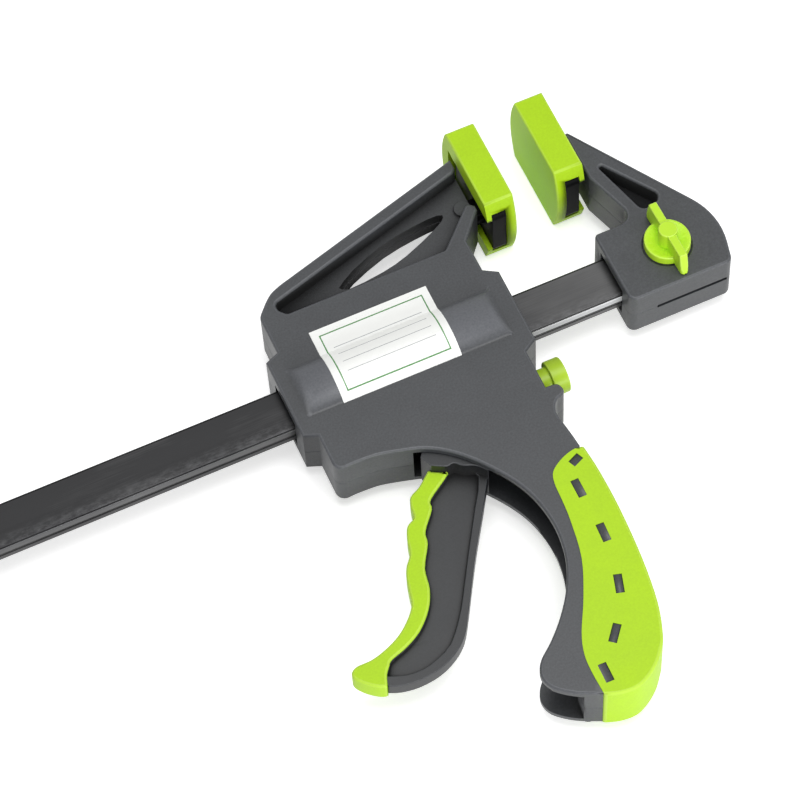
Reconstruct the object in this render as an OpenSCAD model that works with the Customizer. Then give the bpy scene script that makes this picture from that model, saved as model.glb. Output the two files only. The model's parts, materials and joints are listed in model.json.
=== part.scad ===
// Quick release bar clamp, lying on its rear side.
// Origin: middle of the fixed pad's clamping face. +X along the bar towards the fixed jaw,
// +Y from the bar towards the pads, +Z up, with the parting plane of both jaws at z = 0.

/* [Opening and bar] */
// Gap between the two clamping faces as the clamp lies
opening = 19.4; // [8:0.2:60]
// Widest gap between the clamping faces
capacity_l = 300; // [150:10:600]
// Middle of the pads to the middle of the bar
throat = 66.5; // [60:0.5:75]
// Width of the bar
bar_w = 20; // [18:0.5:21]
// Thickness of the bar
bar_t = 9; // [7:0.5:9.5]
// Radius along the bar's four long edges
bar_edge_r = 1.3; // [0.5:0.1:2]
// Width of the groove along each narrow side of the bar
groove_w = 0.9; // [0.5:0.1:1.5]
// Depth of that groove
groove_d = 0.9; // [0.4:0.1:1.5]
// Bar beyond the end stop
bar_tail = 8; // [6:1:20]
// Radius of the end stop pin
stop_r = 2.5; // [1.5:0.25:3]
// End stop pin above each face of the bar
stop_proud = 4; // [2:0.5:6]

/* [Pads] */
// Depth of a pad along the bar
pad_d = 13.1; // [11:0.1:16]
// Straight length of a pad's outer edges
pad_l = 39; // [34:1:44]
// Width of a pad across the clamp
pad_w = 41; // [38:0.5:46]
// How far a pad's ends bulge past its straight edges
pad_bulge = 4.4; // [1:0.2:6]
// Thickness of a pad's clamping wall and sides
pad_wall = 4.3; // [3:0.1:5]
// Thickness of the pad's two side walls
pad_side = 6.2; // [4:0.1:7]
// Thickness of the lips that hook behind the foot
lip_t = 2.2; // [1.5:0.1:3]
// How far the lips reach in behind the foot
lip_reach = 3.4; // [1.5:0.1:4]
// Play between a foot and its pad
foot_fit = 0.1; // [0.1:0.05:0.4]
// Radius of a foot's corners
foot_corner = 4; // [2:0.5:6]
// How far the foot's end stands back from the pad's end
foot_recess = 1.2; // [0.3:0.1:3]
// Radius of the swivel pins
swivel_r = 2; // [1.5:0.1:2.4]
// Swivel pin behind the back of the pad
swivel_back = 5.4; // [4.5:0.1:7]
// Swivel pin below the middle of the pad
swivel_drop = 9; // [7:0.5:11]
// Thickness of the foot's tongue
tongue_t = 7.8; // [6:0.2:9]
// Length of the tongue along the pad
tongue_l = 9; // [7:0.5:11]
// Gap between the back of a pad and the jaw behind it
pad_gap = 1.7; // [1.2:0.1:3]
// Middle of the moving pad below the middle of the fixed pad
pad_drop = 1.7; // [0:0.1:2]

/* [Fixed jaw] */
// Clamping face to the jaw's near face
jaw_setback = 4.4; // [3:0.2:8]
// Length of the fixed jaw along the bar
jaw_l = 49.6; // [46:0.2:56]
// Thickness of the fixed jaw
jaw_t = 26; // [24:0.5:30]
// Bar axis to the jaw's lower side
jaw_below = 18.5; // [17:0.5:22]
// Bar axis to the jaw's inner corner
jaw_above = 17; // [15:0.5:20]
// Depth of the pocket in the jaw's arm
jaw_pocket_d = 9; // [4:0.5:11]
// Height of the slit in the lower side
slit_h = 1.9; // [0.6:0.1:2]
// Length of the slit
slit_l = 32; // [10:1:36]
// Bar inside the fixed jaw
bar_seat = 41; // [36:1:44]
// Depth of the wide mouths that the bar goes into
mouth_d = 1.6; // [1:0.2:2]
// Height of those mouths
mouth_h = 17.2; // [12:0.2:18]

/* [Lock knob] */
// Near face of the jaw to the knob's axis
knob_in = 25.4; // [22:0.2:30]
// Radius of the knob's disc
knob_r = 9.75; // [8:0.25:12]
// Thickness of the disc
knob_h = 4.4; // [3:0.2:6]
// Depth of the dish in the disc
knob_dish = 1.8; // [0.5:0.1:2.5]
// Length of the wing
wing_l = 33; // [26:0.2:38]
// Turn of the wing from across the bar when the knob is locked
wing_turn = 1; // [0:1:15]
// How much each end of the wing leans in towards its top
wing_lean = 2.4; // [0:0.2:5]
// Thickness of the wing
wing_t = 3.6; // [2.5:0.1:5]
// Top of the wing above the jaw
wing_h = 12; // [8:0.5:14]
// Radius of the hub in the middle of the wing
hub_r = 4; // [3:0.25:5]
// Radius of the locking pin
lock_r = 3.5; // [3:0.25:4]
// Width across the locking pin's flats
lock_flat = 5; // [4:0.25:5.5]

/* [Moving jaw body] */
// Clamping face to the body's near face
body_setback = 19.1; // [17:0.1:24]
// Length of the body along the bar
body_l = 104.2; // [100:0.2:110]
// Thickness of the body
body_t = 27; // [26:0.5:30]
// Wall thickness of the body's shells
wall = 3.2; // [2.6:0.1:3.4]
// Bar axis to the bottom of the handle
drop = 175.5; // [170:0.5:185]
// Half height of the collars that the bar goes through
collar_half = 19; // [18:0.5:21]
// Step between a collar and the body beside it
collar_step = 5.9; // [4:0.1:7]
// Slant at a collar's corners
collar_slant = 2.4; // [1:0.2:4]
// Wall of the barrel
barrel_wall = 2.8; // [2:0.1:3]
// Length of the ramps at the barrel's ends
barrel_ramp = 6.5; // [4:0.5:9]
// The body's near face to the barrel's end
barrel_in = 7.2; // [6:0.1:9]
// Room between the drive spring and the barrel
spring_room = 1.4; // [1:0.1:2]
// Thickness of the web in the arm's pocket
arm_web = 11; // [9.6:0.2:14]
// Width of the label
label_w = 52.5; // [40:0.5:56]
// Thickness of the label
label_t = 0.25; // [0.15:0.05:0.4]

/* [Handle grip] */
// Thickness of the soft grip on the handle's back
grip_wall = 2.4; // [1.6:0.1:3]
// Thickness of the soft grip on the handle's sides
grip_skin = 2.2; // [1.4:0.1:2.6]
// How far the soft grip stands proud of the shells
grip_proud = 0.4; // [0.2:0.1:1]
// Length of the windows in the soft grip
window_l = 8.2; // [6:0.2:9]
// Width of those windows
window_w = 3.4; // [2.5:0.1:4]

/* [Trigger] */
// Thickness of the trigger's rim
trigger_t = 7; // [6:0.2:9]
// Thickness of the trigger's web
web_t = 2.8; // [2:0.2:4]
// Thickness of the trigger's hub inside the body
hub_t = 20; // [18:0.2:20]
// Thickness of the trigger's soft grip
tgrip_t = 10.4; // [9.8:0.2:12]
// Depth of the trigger's soft grip in front of the trigger
tgrip_wall = 2.2; // [1.5:0.1:3]
// Radius of the trigger's pin
trigger_pin_r = 2.5; // [2:0.1:3]
// Radius of the trigger's boss
trigger_boss_r = 7; // [6:0.25:8]
// Radius of the nose that pushes the drive plates
cam_r = 3; // [2:0.25:4]
// Nose above the trigger's pin
cam_rise = 17; // [15:0.5:18]
// Nose in front of the trigger's pin
cam_back = 2.5; // [1:0.25:4]

/* [Drive and brake] */
// Thickness of a drive plate
plate_t = 2.4; // [2:0.1:2.5]
// Number of drive plates
plates = 3; // [1:1:3]
// Height of a drive plate
plate_h = 38.4; // [37:0.2:41]
// Width of the drive and brake plates
plate_w = 19.2; // [17:0.2:20]
// Play between the bar and a drive plate
plate_fit = 0.25; // [0.15:0.05:0.5]
// Thickness of the brake plate
brake_t = 3; // [2:0.25:3.5]
// Height of the brake plate
brake_h = 51; // [48:0.5:53]
// Lean of the brake plate when the button is out
brake_lean = 3.8; // [2:0.1:4]
// Wire of the drive spring
spring_wire = 1.8; // [1.2:0.1:2.2]
// Play between the bar's corners and the drive spring
spring_fit = 1.13; // [1:0.01:1.6]
// Turns of the drive spring
spring_turns = 7; // [4:1:8]
// Wire of the brake spring
brake_wire = 0.9; // [0.6:0.1:1.2]
// Radius to the middle of the brake spring's wire
brake_spring_r = 3.2; // [2.5:0.1:4]
// Turns of the brake spring
brake_turns = 6; // [3:1:7]

/* [Release button] */
// Radius of the button's head
button_r = 7.6; // [6:0.1:8.2]
// Length of the button's head
button_l = 6.8; // [5:0.2:9]
// Radius of the button's stem
stem_r = 5.6; // [4:0.1:6]
// Stem that shows between the body and the head
stem_show = 5.6; // [5:0.1:8]
// How far the button travels
button_travel = 3; // [2:0.25:3.5]

/* [Fasteners and fits] */
// Radius of a body screw's head
screw_head_r = 3.1; // [2.6:0.1:3.4]
// Radius of a body screw
screw_r = 1.5; // [1.2:0.1:1.8]
// Radius of a jaw screw's head
jaw_screw_head_r = 2.4; // [2:0.1:2.6]
// Radius of a jaw screw
jaw_screw_r = 1.2; // [1:0.1:1.4]
// Height of a screw's head
head_h = 2; // [1.4:0.1:2.4]
// Radial play of pins and stems that turn or slide
running = 0.05; // [0.02:0.01:0.09]
// Play between parts that move past each other
play = 0.3; // [0.2:0.05:0.5]
// Play between the bar and what it slides through
bar_fit = 0.35; // [0.2:0.05:0.5]

/* [Hidden] */
over = 0.5;
$fn = 48;
curve_steps = 4;
corner_steps = 8;

// Colours as they show on the object
nylon = "#5A5A5C";
lime = "#B4E032";
black_nylon = "#232329";
steel = "#3C3B39";
bright_steel = "#B9BBBD";
paper = "#F4F6F2";

// Places that follow from the sizes above
bar_y = -throat;
half_t = body_t / 2;
jaw_half = jaw_t / 2;
inner_half = half_t - wall;
arm_x = -(opening + pad_d + pad_gap);
right_x = -(opening + body_setback);
left_x = right_x - body_l;
edge_x = left_x + collar_step;
side_x = right_x - collar_step;
jaw_x = jaw_setback;
jaw_arm_x = pad_d + pad_gap;
knob_x = jaw_x + knob_in;
bar_right = jaw_x + bar_seat;
stop_x = -(capacity_l + body_setback + body_l + stop_r + play);
bar_left = stop_x - bar_tail;
spring_r = norm([bar_w, bar_t]) / 2 + spring_fit + spring_wire / 2;
barrel_r = spring_r + spring_wire / 2 + spring_room + barrel_wall;

// A place in the body: shares of its length behind the near face, and of the drop below the bar
function low(p) = [right_x - p.x * body_l, bar_y - p.y * drop];
// A place on the body's arm: shares of the arm's length and of the throat above the bar
function high(p) = [arm_x - p.x * (arm_x - edge_x), bar_y + p.y * throat];
// A place on the fixed jaw: shares of its length and of the throat above the bar
function jaw_at(p) = [jaw_x + p.x * jaw_l, bar_y + p.y * throat];

// A smooth curve through points
function between(a, b, c, d, t) =
    ((2 * b) + (c - a) * t + (2 * a - 5 * b + 4 * c - d) * t * t + (3 * b - a - 3 * c + d) * t * t * t) / 2;
function curve(p, n = curve_steps) = concat(
    [for (i = [0:len(p) - 2], k = [0:n - 1])
        between(p[max(i - 1, 0)], p[i], p[i + 1], p[min(i + 2, len(p) - 1)], k / n)],
    [p[len(p) - 1]]);
// A path moved sideways by a distance, to the right of its direction
function shifted(p, d) = [for (i = [0:len(p) - 1])
    let (v = p[min(i + 1, len(p) - 1)] - p[max(i - 1, 0)]) p[i] + d * [v.y, -v.x] / norm(v)];
function backwards(p) = [for (i = [len(p) - 1:-1:0]) p[i]];
// A closed outline whose corners [x, y, radius] are rounded
function toward(a, b) = (b - a) / norm(b - a);
function corner(a, b, c, r) = r == 0 ? [b] :
    let (u = toward(b, a), v = toward(b, c), h = acos(u * v) / 2,
        m = b + toward([0, 0], u + v) * r / sin(h),
        s = b + u * r / tan(h) - m, e = b + v * r / tan(h) - m,
        a0 = atan2(s.y, s.x), d0 = atan2(e.y, e.x) - a0,
        d = d0 > 180 ? d0 - 360 : d0 < -180 ? d0 + 360 : d0)
    [for (i = [0:corner_steps]) m + r * [cos(a0 + d * i / corner_steps), sin(a0 + d * i / corner_steps)]];
function xy(p) = [p[0], p[1]];
function rounded(p) = [for (i = [0:len(p) - 1])
    each corner(xy(p[(i + len(p) - 1) % len(p)]), xy(p[i]), xy(p[(i + 1) % len(p)]), p[i][2])];

module slab(points, z0, z1) {
    translate([0, 0, z0]) linear_extrude(height = z1 - z0) polygon(points);
}
module block(x0, x1, y0, y1, z0, z1) {
    translate([x0, y0, z0]) cube([x1 - x0, y1 - y0, z1 - z0]);
}
module post(p, r, z0, z1) {
    translate([p.x, p.y, z0]) cylinder(r = r, h = z1 - z0);
}
module along_x(x, y, z) {
    translate([x, y, z]) rotate([0, 90, 0]) children();
}

// Middle line of a tube wound round an axis along X
function coil_line(x0, x1, r, wire, turns, rings) =
    let (rise = (x1 - x0 - wire) / (turns * rings))
    [for (i = [0:turns * rings])
        [x0 + wire / 2 + i * rise, r * cos(360 * i / rings), r * sin(360 * i / rings)]];
// Least gap between stretches of the tube that lie most of a turn or more apart
function coil_gap(line, wire, rings) =
    min([for (i = [0:len(line) - rings], j = [i + rings - 1:1:len(line) - 1]) norm(line[i] - line[j])]) - wire;

// The tube as one unbroken closed solid
module coil(x0, x1, r, wire, turns, rings = 8, sides = 6) {
    line = coil_line(x0, x1, r, wire, turns, rings);
    steps = turns * rings;
    lean = atan2((x1 - x0 - wire) / turns, 2 * PI * r);
    echo(least_gap_to_itself = coil_gap(line, wire, rings));
    points = [for (i = [0:steps], k = [0:sides - 1])
        let (a = 360 * i / rings, f = 360 * k / sides,
            u = [0, cos(a), sin(a)], b = [cos(lean), sin(lean) * sin(a), -sin(lean) * cos(a)])
        line[i] + wire / 2 * (cos(f) * u + sin(f) * b)];
    walls = [for (i = [0:steps - 1], k = [0:sides - 1])
        let (n = (k + 1) % sides, a = i * sides, b = a + sides)
        each [[a + k, b + n, b + k], [a + k, a + n, b + n]]];
    first = [for (k = [1:sides - 2]) [0, k + 1, k]];
    last = [for (k = [1:sides - 2]) [steps * sides, steps * sides + k, steps * sides + k + 1]];
    polyhedron(points = points, faces = concat(walls, first, last));
}

// Bar

module bar_profile() {
    w = bar_w / 2;
    t = bar_t / 2;
    g = groove_w / 2;
    difference() {
        polygon(rounded([[-w, -t, bar_edge_r], [w, -t, bar_edge_r], [w, t, bar_edge_r], [-w, t, bar_edge_r]]));
        for (s = [-1, 1]) translate([s * w, 0]) square([2 * groove_d, groove_w], center = true);
    }
}

module bar() {
    color(steel) difference() {
        translate([bar_left, bar_y, 0]) rotate([90, 0, 90])
            linear_extrude(height = bar_right - bar_left) bar_profile();
        post([stop_x, bar_y], stop_r, -bar_t, bar_t);
        post([knob_x, bar_y], lock_r + running, -bar_t, bar_t);
        block(knob_x, bar_right + over, bar_y - lock_flat / 2 - play, bar_y + lock_flat / 2 + play, -bar_t, bar_t);
    }
}

module bar_end_stop() {
    color(bright_steel) post([stop_x, bar_y], stop_r, -bar_t / 2 - stop_proud, bar_t / 2 + stop_proud);
}

// Fixed jaw

jaw_crown_share = [1.049, 0.064];
jaw_heel_share = 0.934;
jaw_crotch_share = 0.381;
jaw_arm_shares = [0.647, 1.053];
jaw_pocket_shares = [[0.3, 0.762], [0.695, 0.33], [0.48, 0.288]];
jaw_crown_r = 32;
jaw_foot_r = 3.5;
jaw_crotch_r = 5;
jaw_tip_r = 1;
pocket_tip_r = 0.9;
pocket_end_r = 3.2;
jaw_screw_edge = 4.2;
jaw_screw_in = 8;

function jaw_outline() =
    let (low_y = bar_y - jaw_below, top_y = bar_y + jaw_above, arm = jaw_arm_shares * throat)
    rounded([
        [jaw_arm_x, bar_y + arm[1], jaw_tip_r], [each jaw_at(jaw_crown_share), jaw_crown_r],
        [jaw_x + jaw_heel_share * jaw_l, low_y, jaw_foot_r], [jaw_x, low_y, jaw_foot_r],
        [jaw_x, top_y, jaw_foot_r / 2], [jaw_x + jaw_crotch_share * jaw_l, top_y, jaw_crotch_r],
        [jaw_arm_x, bar_y + arm[0], jaw_tip_r]]);

jaw_screw_places = [
    [jaw_x + jaw_screw_in, bar_y - jaw_below + jaw_screw_edge],
    [jaw_x + jaw_l - 2 * jaw_screw_in, bar_y - jaw_below + jaw_screw_edge],
    [jaw_x + jaw_screw_in, bar_y + jaw_above - jaw_screw_edge],
    [jaw_x + jaw_l - 1.5 * jaw_screw_in, bar_y + jaw_above - jaw_screw_edge]];
head_seat = jaw_half - head_h - over;

// Slot for a foot's tongue, and the bore for its pin, in the end of a jaw's arm
module swivel_seat() {
    y = -swivel_drop;
    h = tongue_l / 2 + play;
    reach = swivel_back - pad_gap + tongue_l / 2 + play;
    t = tongue_t / 2 + play;
    block(jaw_arm_x - over, jaw_arm_x + reach, y - h - play, y + h + play, -t, t);
}

module jaw_side() {
    difference() {
        slab(jaw_outline(), 0, jaw_half);
        block(jaw_x - over, bar_right + play, bar_y - bar_w / 2 - bar_fit, bar_y + bar_w / 2 + bar_fit,
            -over, bar_t / 2 + play / 2);
        block(jaw_x - over, jaw_x + 2 * mouth_d, bar_y - bar_w / 2 - bar_fit, bar_y + bar_w / 2 + bar_fit,
            -over, mouth_h / 2);
        post([knob_x, bar_y], lock_r + running, -over, jaw_half + over);
        slab(rounded([for (i = [0:2]) [each jaw_at(jaw_pocket_shares[i]), i == 0 ? pocket_tip_r : pocket_end_r]]),
            jaw_half - jaw_pocket_d, jaw_half + over);
        block(jaw_x + jaw_l / 4, jaw_x + jaw_l / 4 + slit_l, bar_y - jaw_below - over, bar_y - bar_w / 2,
            -over, slit_h / 2);
        swivel_seat();
        post([pad_d + swivel_back, -swivel_drop], swivel_r, -over, jaw_half - wall);
    }
}

module fixed_jaw_front_shell() {
    color(nylon) difference() {
        jaw_side();
        post([knob_x, bar_y], knob_r + play, jaw_half - 2 * play, jaw_half + over);
        for (p = jaw_screw_places) post(p, jaw_screw_r, -over, jaw_half - wall);
    }
}

module fixed_jaw_rear_shell() {
    color(nylon) difference() {
        mirror([0, 0, 1]) jaw_side();
        post([knob_x, bar_y], lock_r + 2 * play + clip_w, -jaw_half - over, -jaw_half + clip_recess);
        for (p = jaw_screw_places) {
            post(p, jaw_screw_r, -jaw_half, over);
            post(p, jaw_screw_head_r + play / 2, -jaw_half - over, -head_seat);
        }
    }
}

// Pan head screw from the rear, with a cross recess
module screw(p, r, head_r, seat, tip) {
    bit = head_r / 4;
    difference() {
        union() {
            post(p, r, seat - head_h / 2, tip);
            post(p, head_r, seat - head_h, seat);
        }
        for (a = [0, 90]) translate([p.x, p.y, seat - head_h]) rotate(a)
            cube([head_r * 1.2, bit, head_h], center = true);
    }
}

module fixed_jaw_screws() {
    color(bright_steel) for (p = jaw_screw_places)
        screw(p, jaw_screw_r, jaw_screw_head_r, -head_seat, jaw_half - wall - play);
}

// Lock knob with its pin

clip_t = 1;
clip_w = 2.4;
clip_recess = 3.2;
pin_neck = lock_r - clip_w / 3;
knob_z = jaw_half - play;
wing_low = knob_z + 2 * play;
wing_high = knob_z + wing_h;

module lock_knob() {
    color(lime) difference() {
        union() {
            post([knob_x, bar_y], knob_r, knob_z, knob_z + knob_h - knob_dish);
            difference() {
                post([knob_x, bar_y], knob_r, knob_z, knob_z + knob_h);
                translate([knob_x, bar_y, knob_z + knob_h - knob_dish])
                    cylinder(r1 = knob_r / 2, r2 = knob_r - knob_dish / 2, h = knob_dish + over / 10);
            }
            post([knob_x, bar_y], hub_r, knob_z, knob_z + wing_h + play);
            translate([knob_x, bar_y, 0]) rotate(wing_turn) intersection() {
                slab(rounded([for (c = [[-1, -1], [1, -1], [1, 1], [-1, 1]])
                    [c.x * wing_t / 2, c.y * wing_l / 2, wing_t / 2 - over / 10]]),
                    wing_low, wing_high);
                plate_yz([[-wing_l / 2, wing_low], [wing_l / 2, wing_low],
                    [wing_l / 2 - wing_lean, wing_high], [wing_lean - wing_l / 2, wing_high]],
                    -wing_t, wing_t);
            }
        }
        post([knob_x, bar_y], lock_r, knob_z - over, knob_z + knob_h + play);
    }
}

module lock_pin() {
    color(bright_steel) difference() {
        post([knob_x, bar_y], lock_r, -jaw_half + play, knob_z + knob_h + play);
        for (s = [-1, 1]) translate([knob_x, bar_y, 0])
            translate([s * (lock_flat / 2 + lock_r), 0, 0])
                cube([2 * lock_r, 4 * lock_r, bar_t + play], center = true);
        difference() {
            post([knob_x, bar_y], lock_r + over, -jaw_half + clip_recess - clip_t - play / 2,
                -jaw_half + clip_recess - play / 2);
            post([knob_x, bar_y], pin_neck, -jaw_half, 0);
        }
    }
}

// Retaining ring with an open side
module ring(r, w) {
    difference() {
        cylinder(r = r + w, h = clip_t);
        translate([0, 0, -over]) cylinder(r = r, h = clip_t + 2 * over);
        translate([0, -r / 2, -over]) cube([2 * (r + w), r, clip_t + 2 * over]);
    }
}

module lock_clip() {
    color(bright_steel) translate([knob_x, bar_y, -jaw_half + clip_recess - clip_t - play / 2])
        ring(pin_neck, clip_w);
}

// Pads, feet and swivel pins. side is 1 on the fixed jaw and -1 on the moving jaw.

bulge_steps = 10;
function pad_end(z, reach) = reach + pad_bulge * (1 - pow(2 * z / pad_w, 2));
function pad_outline(reach_up, reach_down, half) = concat(
    [for (i = [0:bulge_steps]) let (z = -half + 2 * half * i / bulge_steps) [pad_end(z, reach_up), z]],
    [for (i = [bulge_steps:-1:0]) let (z = -half + 2 * half * i / bulge_steps) [-pad_end(z, reach_down), z]]);

// Extrudes an outline in Y and Z along X
module plate_yz(points, x0, x1) {
    translate([x0, 0, 0]) rotate([90, 0, 90]) linear_extrude(height = x1 - x0) polygon(points);
}

module pad() {
    half = pad_w / 2;
    hollow = half - pad_side;
    difference() {
        plate_yz(pad_outline(pad_l / 2, pad_l / 2, half), 0, pad_d);
        block(pad_wall, pad_d - lip_t, -pad_l, pad_l / 2 - pad_wall + pad_bulge / 2, -hollow, hollow);
        block(pad_wall, pad_d + over, -pad_l, pad_l / 2 - pad_wall + pad_bulge / 2,
            -hollow + lip_reach, hollow - lip_reach);
    }
}

foot_low = pad_l / 2 + pad_bulge - foot_recess;
module foot() {
    half = pad_w / 2 - pad_side - foot_fit;
    top = pad_l / 2 - pad_wall;
    x0 = pad_wall + foot_fit;
    x1 = pad_d - lip_t - foot_fit;
    pin_x = pad_d + swivel_back;
    difference() {
        union() {
            plate_yz(rounded([[-foot_low, -half, foot_corner], [top, -half, foot_corner],
                [top, half, foot_corner], [-foot_low, half, foot_corner]]), x0, x1);
            block(x1 - over, pin_x, -swivel_drop - tongue_l / 2, -swivel_drop + tongue_l / 2,
                -tongue_t / 2, tongue_t / 2);
            post([pin_x, -swivel_drop], tongue_l / 2, -tongue_t / 2, tongue_t / 2);
        }
        post([pin_x, -swivel_drop], swivel_r + running, -tongue_t, tongue_t);
    }
}

module swivel_pin(half) {
    post([pad_d + swivel_back, -swivel_drop], swivel_r, -half, half);
}

module fixed_swivel_pin() { color(bright_steel) swivel_pin(jaw_half - wall - play / 2); }
module fixed_foot() { color(black_nylon) foot(); }
module fixed_pad() { color(lime) pad(); }

module on_moving_jaw() {
    translate([-opening, -pad_drop, 0]) mirror([1, 0, 0]) children();
}
boss_rise = 1;
boss_half = arm_web / 2 + boss_rise;
module moving_swivel_pin() { color(bright_steel) on_moving_jaw() swivel_pin(boss_half - play); }
module moving_foot() { color(black_nylon) on_moving_jaw() foot(); }
module moving_pad() { color(lime) on_moving_jaw() pad(); }

// Outline of the moving jaw's body and handle

arm_shares = [[0, 1.146], [0.31, 1.008], [0.62, 0.871], [0.805, 0.788], [0.865, 0.761], [0.912, 0.731],
    [0.944, 0.692], [0.971, 0.648], [0.996, 0.6], [1, 0.547], [1, 0.42]];
lower_shares = [[0.87, 0.2225], [0.811, 0.2235], [0.763, 0.2265], [0.682, 0.2385], [0.598, 0.2545],
    [0.524, 0.282], [0.457, 0.32], [0.391, 0.371], [0.339, 0.422], [0.305, 0.473], [0.287, 0.53], [0.287, 0.587], [0.309, 0.65],
    [0.362, 0.716], [0.431, 0.771], [0.502, 0.814], [0.564, 0.844], [0.592, 0.868], [0.599, 0.892],
    [0.583, 0.917], [0.541, 0.941], [0.489, 0.961], [0.42, 0.98]];
grip_back_shares = [[0.418, 0.984], [0.36, 0.996], [0.297, 0.999], [0.243, 0.988], [0.187, 0.965],
    [0.145, 0.937], [0.114, 0.908], [0.071, 0.83], [0.042, 0.716], [0.027, 0.584], [0.027, 0.476],
    [0.037, 0.402]];
grip_front_shares = [[0.037, 0.402], [0.086, 0.404], [0.138, 0.414], [0.19, 0.435], [0.208, 0.464],
    [0.213, 0.51], [0.222, 0.567], [0.252, 0.661], [0.317, 0.751], [0.385, 0.826], [0.414, 0.875],
    [0.421, 0.92], [0.418, 0.984]];
back_shares = [[0.0475, 0.398], [0.0536, 0.364], [0.062, 0.328], [0.067, 0.302], [0.057, 0.281],
    [0.039, 0.268], [0.01, 0.261], [-0.002, 0.248], [0.008, 0.232], [0.032, 0.227]];
nose_shares = [[0.1, 0.556], [0, 0.735]];
lower_corner_share = 0.2235;
lower_corner_r = 4;

grip_back = curve([for (p = grip_back_shares) low(p)]);
core_back = shifted(grip_back, -grip_wall);

function left_side() = [
    [edge_x, bar_y + collar_half + collar_slant], [left_x, bar_y + collar_half],
    [left_x, bar_y - collar_half], [edge_x, bar_y - collar_half - collar_slant]];
function right_side() = [
    [side_x, bar_y - collar_half - collar_slant], [right_x, bar_y - collar_half + collar_slant / 2],
    [right_x, bar_y + collar_half - collar_slant / 2], [side_x, bar_y + collar_half + collar_slant]];
function lower_corner() =
    let (c = [edge_x, bar_y - lower_corner_share * drop])
    corner(c + [0, 2 * lower_corner_r], c, c + [2 * lower_corner_r, 0], lower_corner_r);

// The outline with the handle's back at the given path, from the arm's end anticlockwise
function body_outline(back) = concat(
    curve([for (p = arm_shares) high(p)]), left_side(), lower_corner(),
    curve([for (p = lower_shares) low(p)]), back, curve([for (p = back_shares) low(p)]),
    [[side_x, low(back_shares[len(back_shares) - 1]).y]], right_side(),
    [for (p = nose_shares) high(p)]);

// Arm pocket, through hole and what it leaves

pocket_low_shares = [[0.917, 0.592], [0.892, 0.549], [0.197, 0.549], [0.028, 0.806]];
pocket_mouth_shares = [[-0.01, 0.755], [-0.01, 1.09]];
pocket_high_shares = [[0.0175, 1.045], [0.922, 0.6465]];
slot_shares = [[0.642, 0.647], [0.56, 0.726], [0.4, 0.818], [0.252, 0.858], [0.142, 0.869], [0.122, 0.838],
    [0.18, 0.78], [0.33, 0.682], [0.45, 0.635], [0.606, 0.612], [0.642, 0.647]];
pocket_r = 2.2;

function pocket_outline() = rounded(concat(
    [for (p = pocket_low_shares) [each high(p), pocket_r]], [for (p = pocket_mouth_shares) [each high(p), 0]],
    [for (p = pocket_high_shares) [each high(p), pocket_r]]));

// Rooms inside the body

pivot_share = [0.523, 0.2137];
pivot = low(pivot_share);
cam = pivot + [-cam_back, cam_rise];
plates_x = cam.x - cam_r - play;
plate_pitch = plate_t + play / 3;
plates_left = plates_x - plates * plate_pitch;
spring_seat = 3.6;
spring_x = edge_x + spring_seat;
chamber_wall = 2;
chamber_half = collar_half - chamber_wall;
plate_top = bar_y + chamber_half - play;
travel = 6.5;
room_left = plates_left - travel - 2 * play - cam_r / 2;
slot_left_share = 0.638;
slot_foot_share = 0.262;
slot_left_x = right_x - slot_left_share * body_l;
room_shares = [[0.495, 1.02], [0.475, 0.92], [0.398, 0.84], [0.307, 0.76], [0.235, 0.664], [0.192, 0.561],
    [0.178, 0.476], [0.178, 0.39], [0.16, 0.3], [0.12, 0.262]];
wall_x = side_x - wall;
room_step_share = 0.16;
wall_foot_share = 0.26;
room_mouth_shares = [[1.1, 0.5], [1.1, 1.1]];

// The trigger's room, open at the front of the handle
function room_outline() = concat(
    [[room_left, bar_y - chamber_half + over], [room_left, bar_y - room_step_share * drop],
        [slot_left_x, bar_y - room_step_share * drop - cam_r],
        [slot_left_x, bar_y - slot_foot_share * drop],
        for (p = room_mouth_shares) low(p)],
    [for (p = room_shares) low(p)],
    [[wall_x, bar_y - wall_foot_share * drop], [wall_x, bar_y - chamber_half + over]]);

// Rib rooms that save weight between the bar and the pocket
rib_rooms = 4;
rib_t = 2.4;
module rib_room_row() {
    x0 = edge_x + 3 * wall;
    x1 = side_x - 3 * wall;
    pitch = (x1 - x0) / rib_rooms;
    y1 = high(pocket_low_shares[1]).y - rib_t;
    for (i = [0:rib_rooms - 1])
        block(x0 + i * pitch, x0 + (i + 1) * pitch - rib_t, bar_y + chamber_half + rib_t, y1, -over, inner_half);
}

// Barrel over the bar, its ends cut back as ramps
barrel_left = edge_x - 2 * play;
barrel_right = right_x - barrel_in;
function ramp_angle() = atan2(barrel_r - half_t, barrel_ramp);
module barrel() {
    difference() {
        along_x(barrel_left, bar_y, 0) cylinder(r = barrel_r, h = barrel_right - barrel_left);
        translate([0, 0, -2 * barrel_r]) block(left_x, right_x, bar_y - 2 * barrel_r, bar_y + 2 * barrel_r, 0,
            2 * barrel_r);
        translate([barrel_left, bar_y - 2 * barrel_r, half_t]) rotate([0, -ramp_angle(), 0])
            translate([-barrel_r, 0, 0]) cube([3 * barrel_r, 4 * barrel_r, barrel_r]);
        translate([barrel_right, bar_y - 2 * barrel_r, half_t]) rotate([0, ramp_angle(), 0])
            translate([-2 * barrel_r, 0, 0]) cube([3 * barrel_r, 4 * barrel_r, barrel_r]);
    }
}

// Places of the screws
body_screw_shares = [[0.782, 0.174], [0.122, 0.328], [0.452, 0.945]];
arm_screw_shares = [[0.945, 0.43], [0.16, 0.43]];
body_screw_places = concat([for (p = body_screw_shares) low(p)], [for (p = arm_screw_shares) high(p)]);
body_head_seat = half_t - head_h - over;

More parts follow.
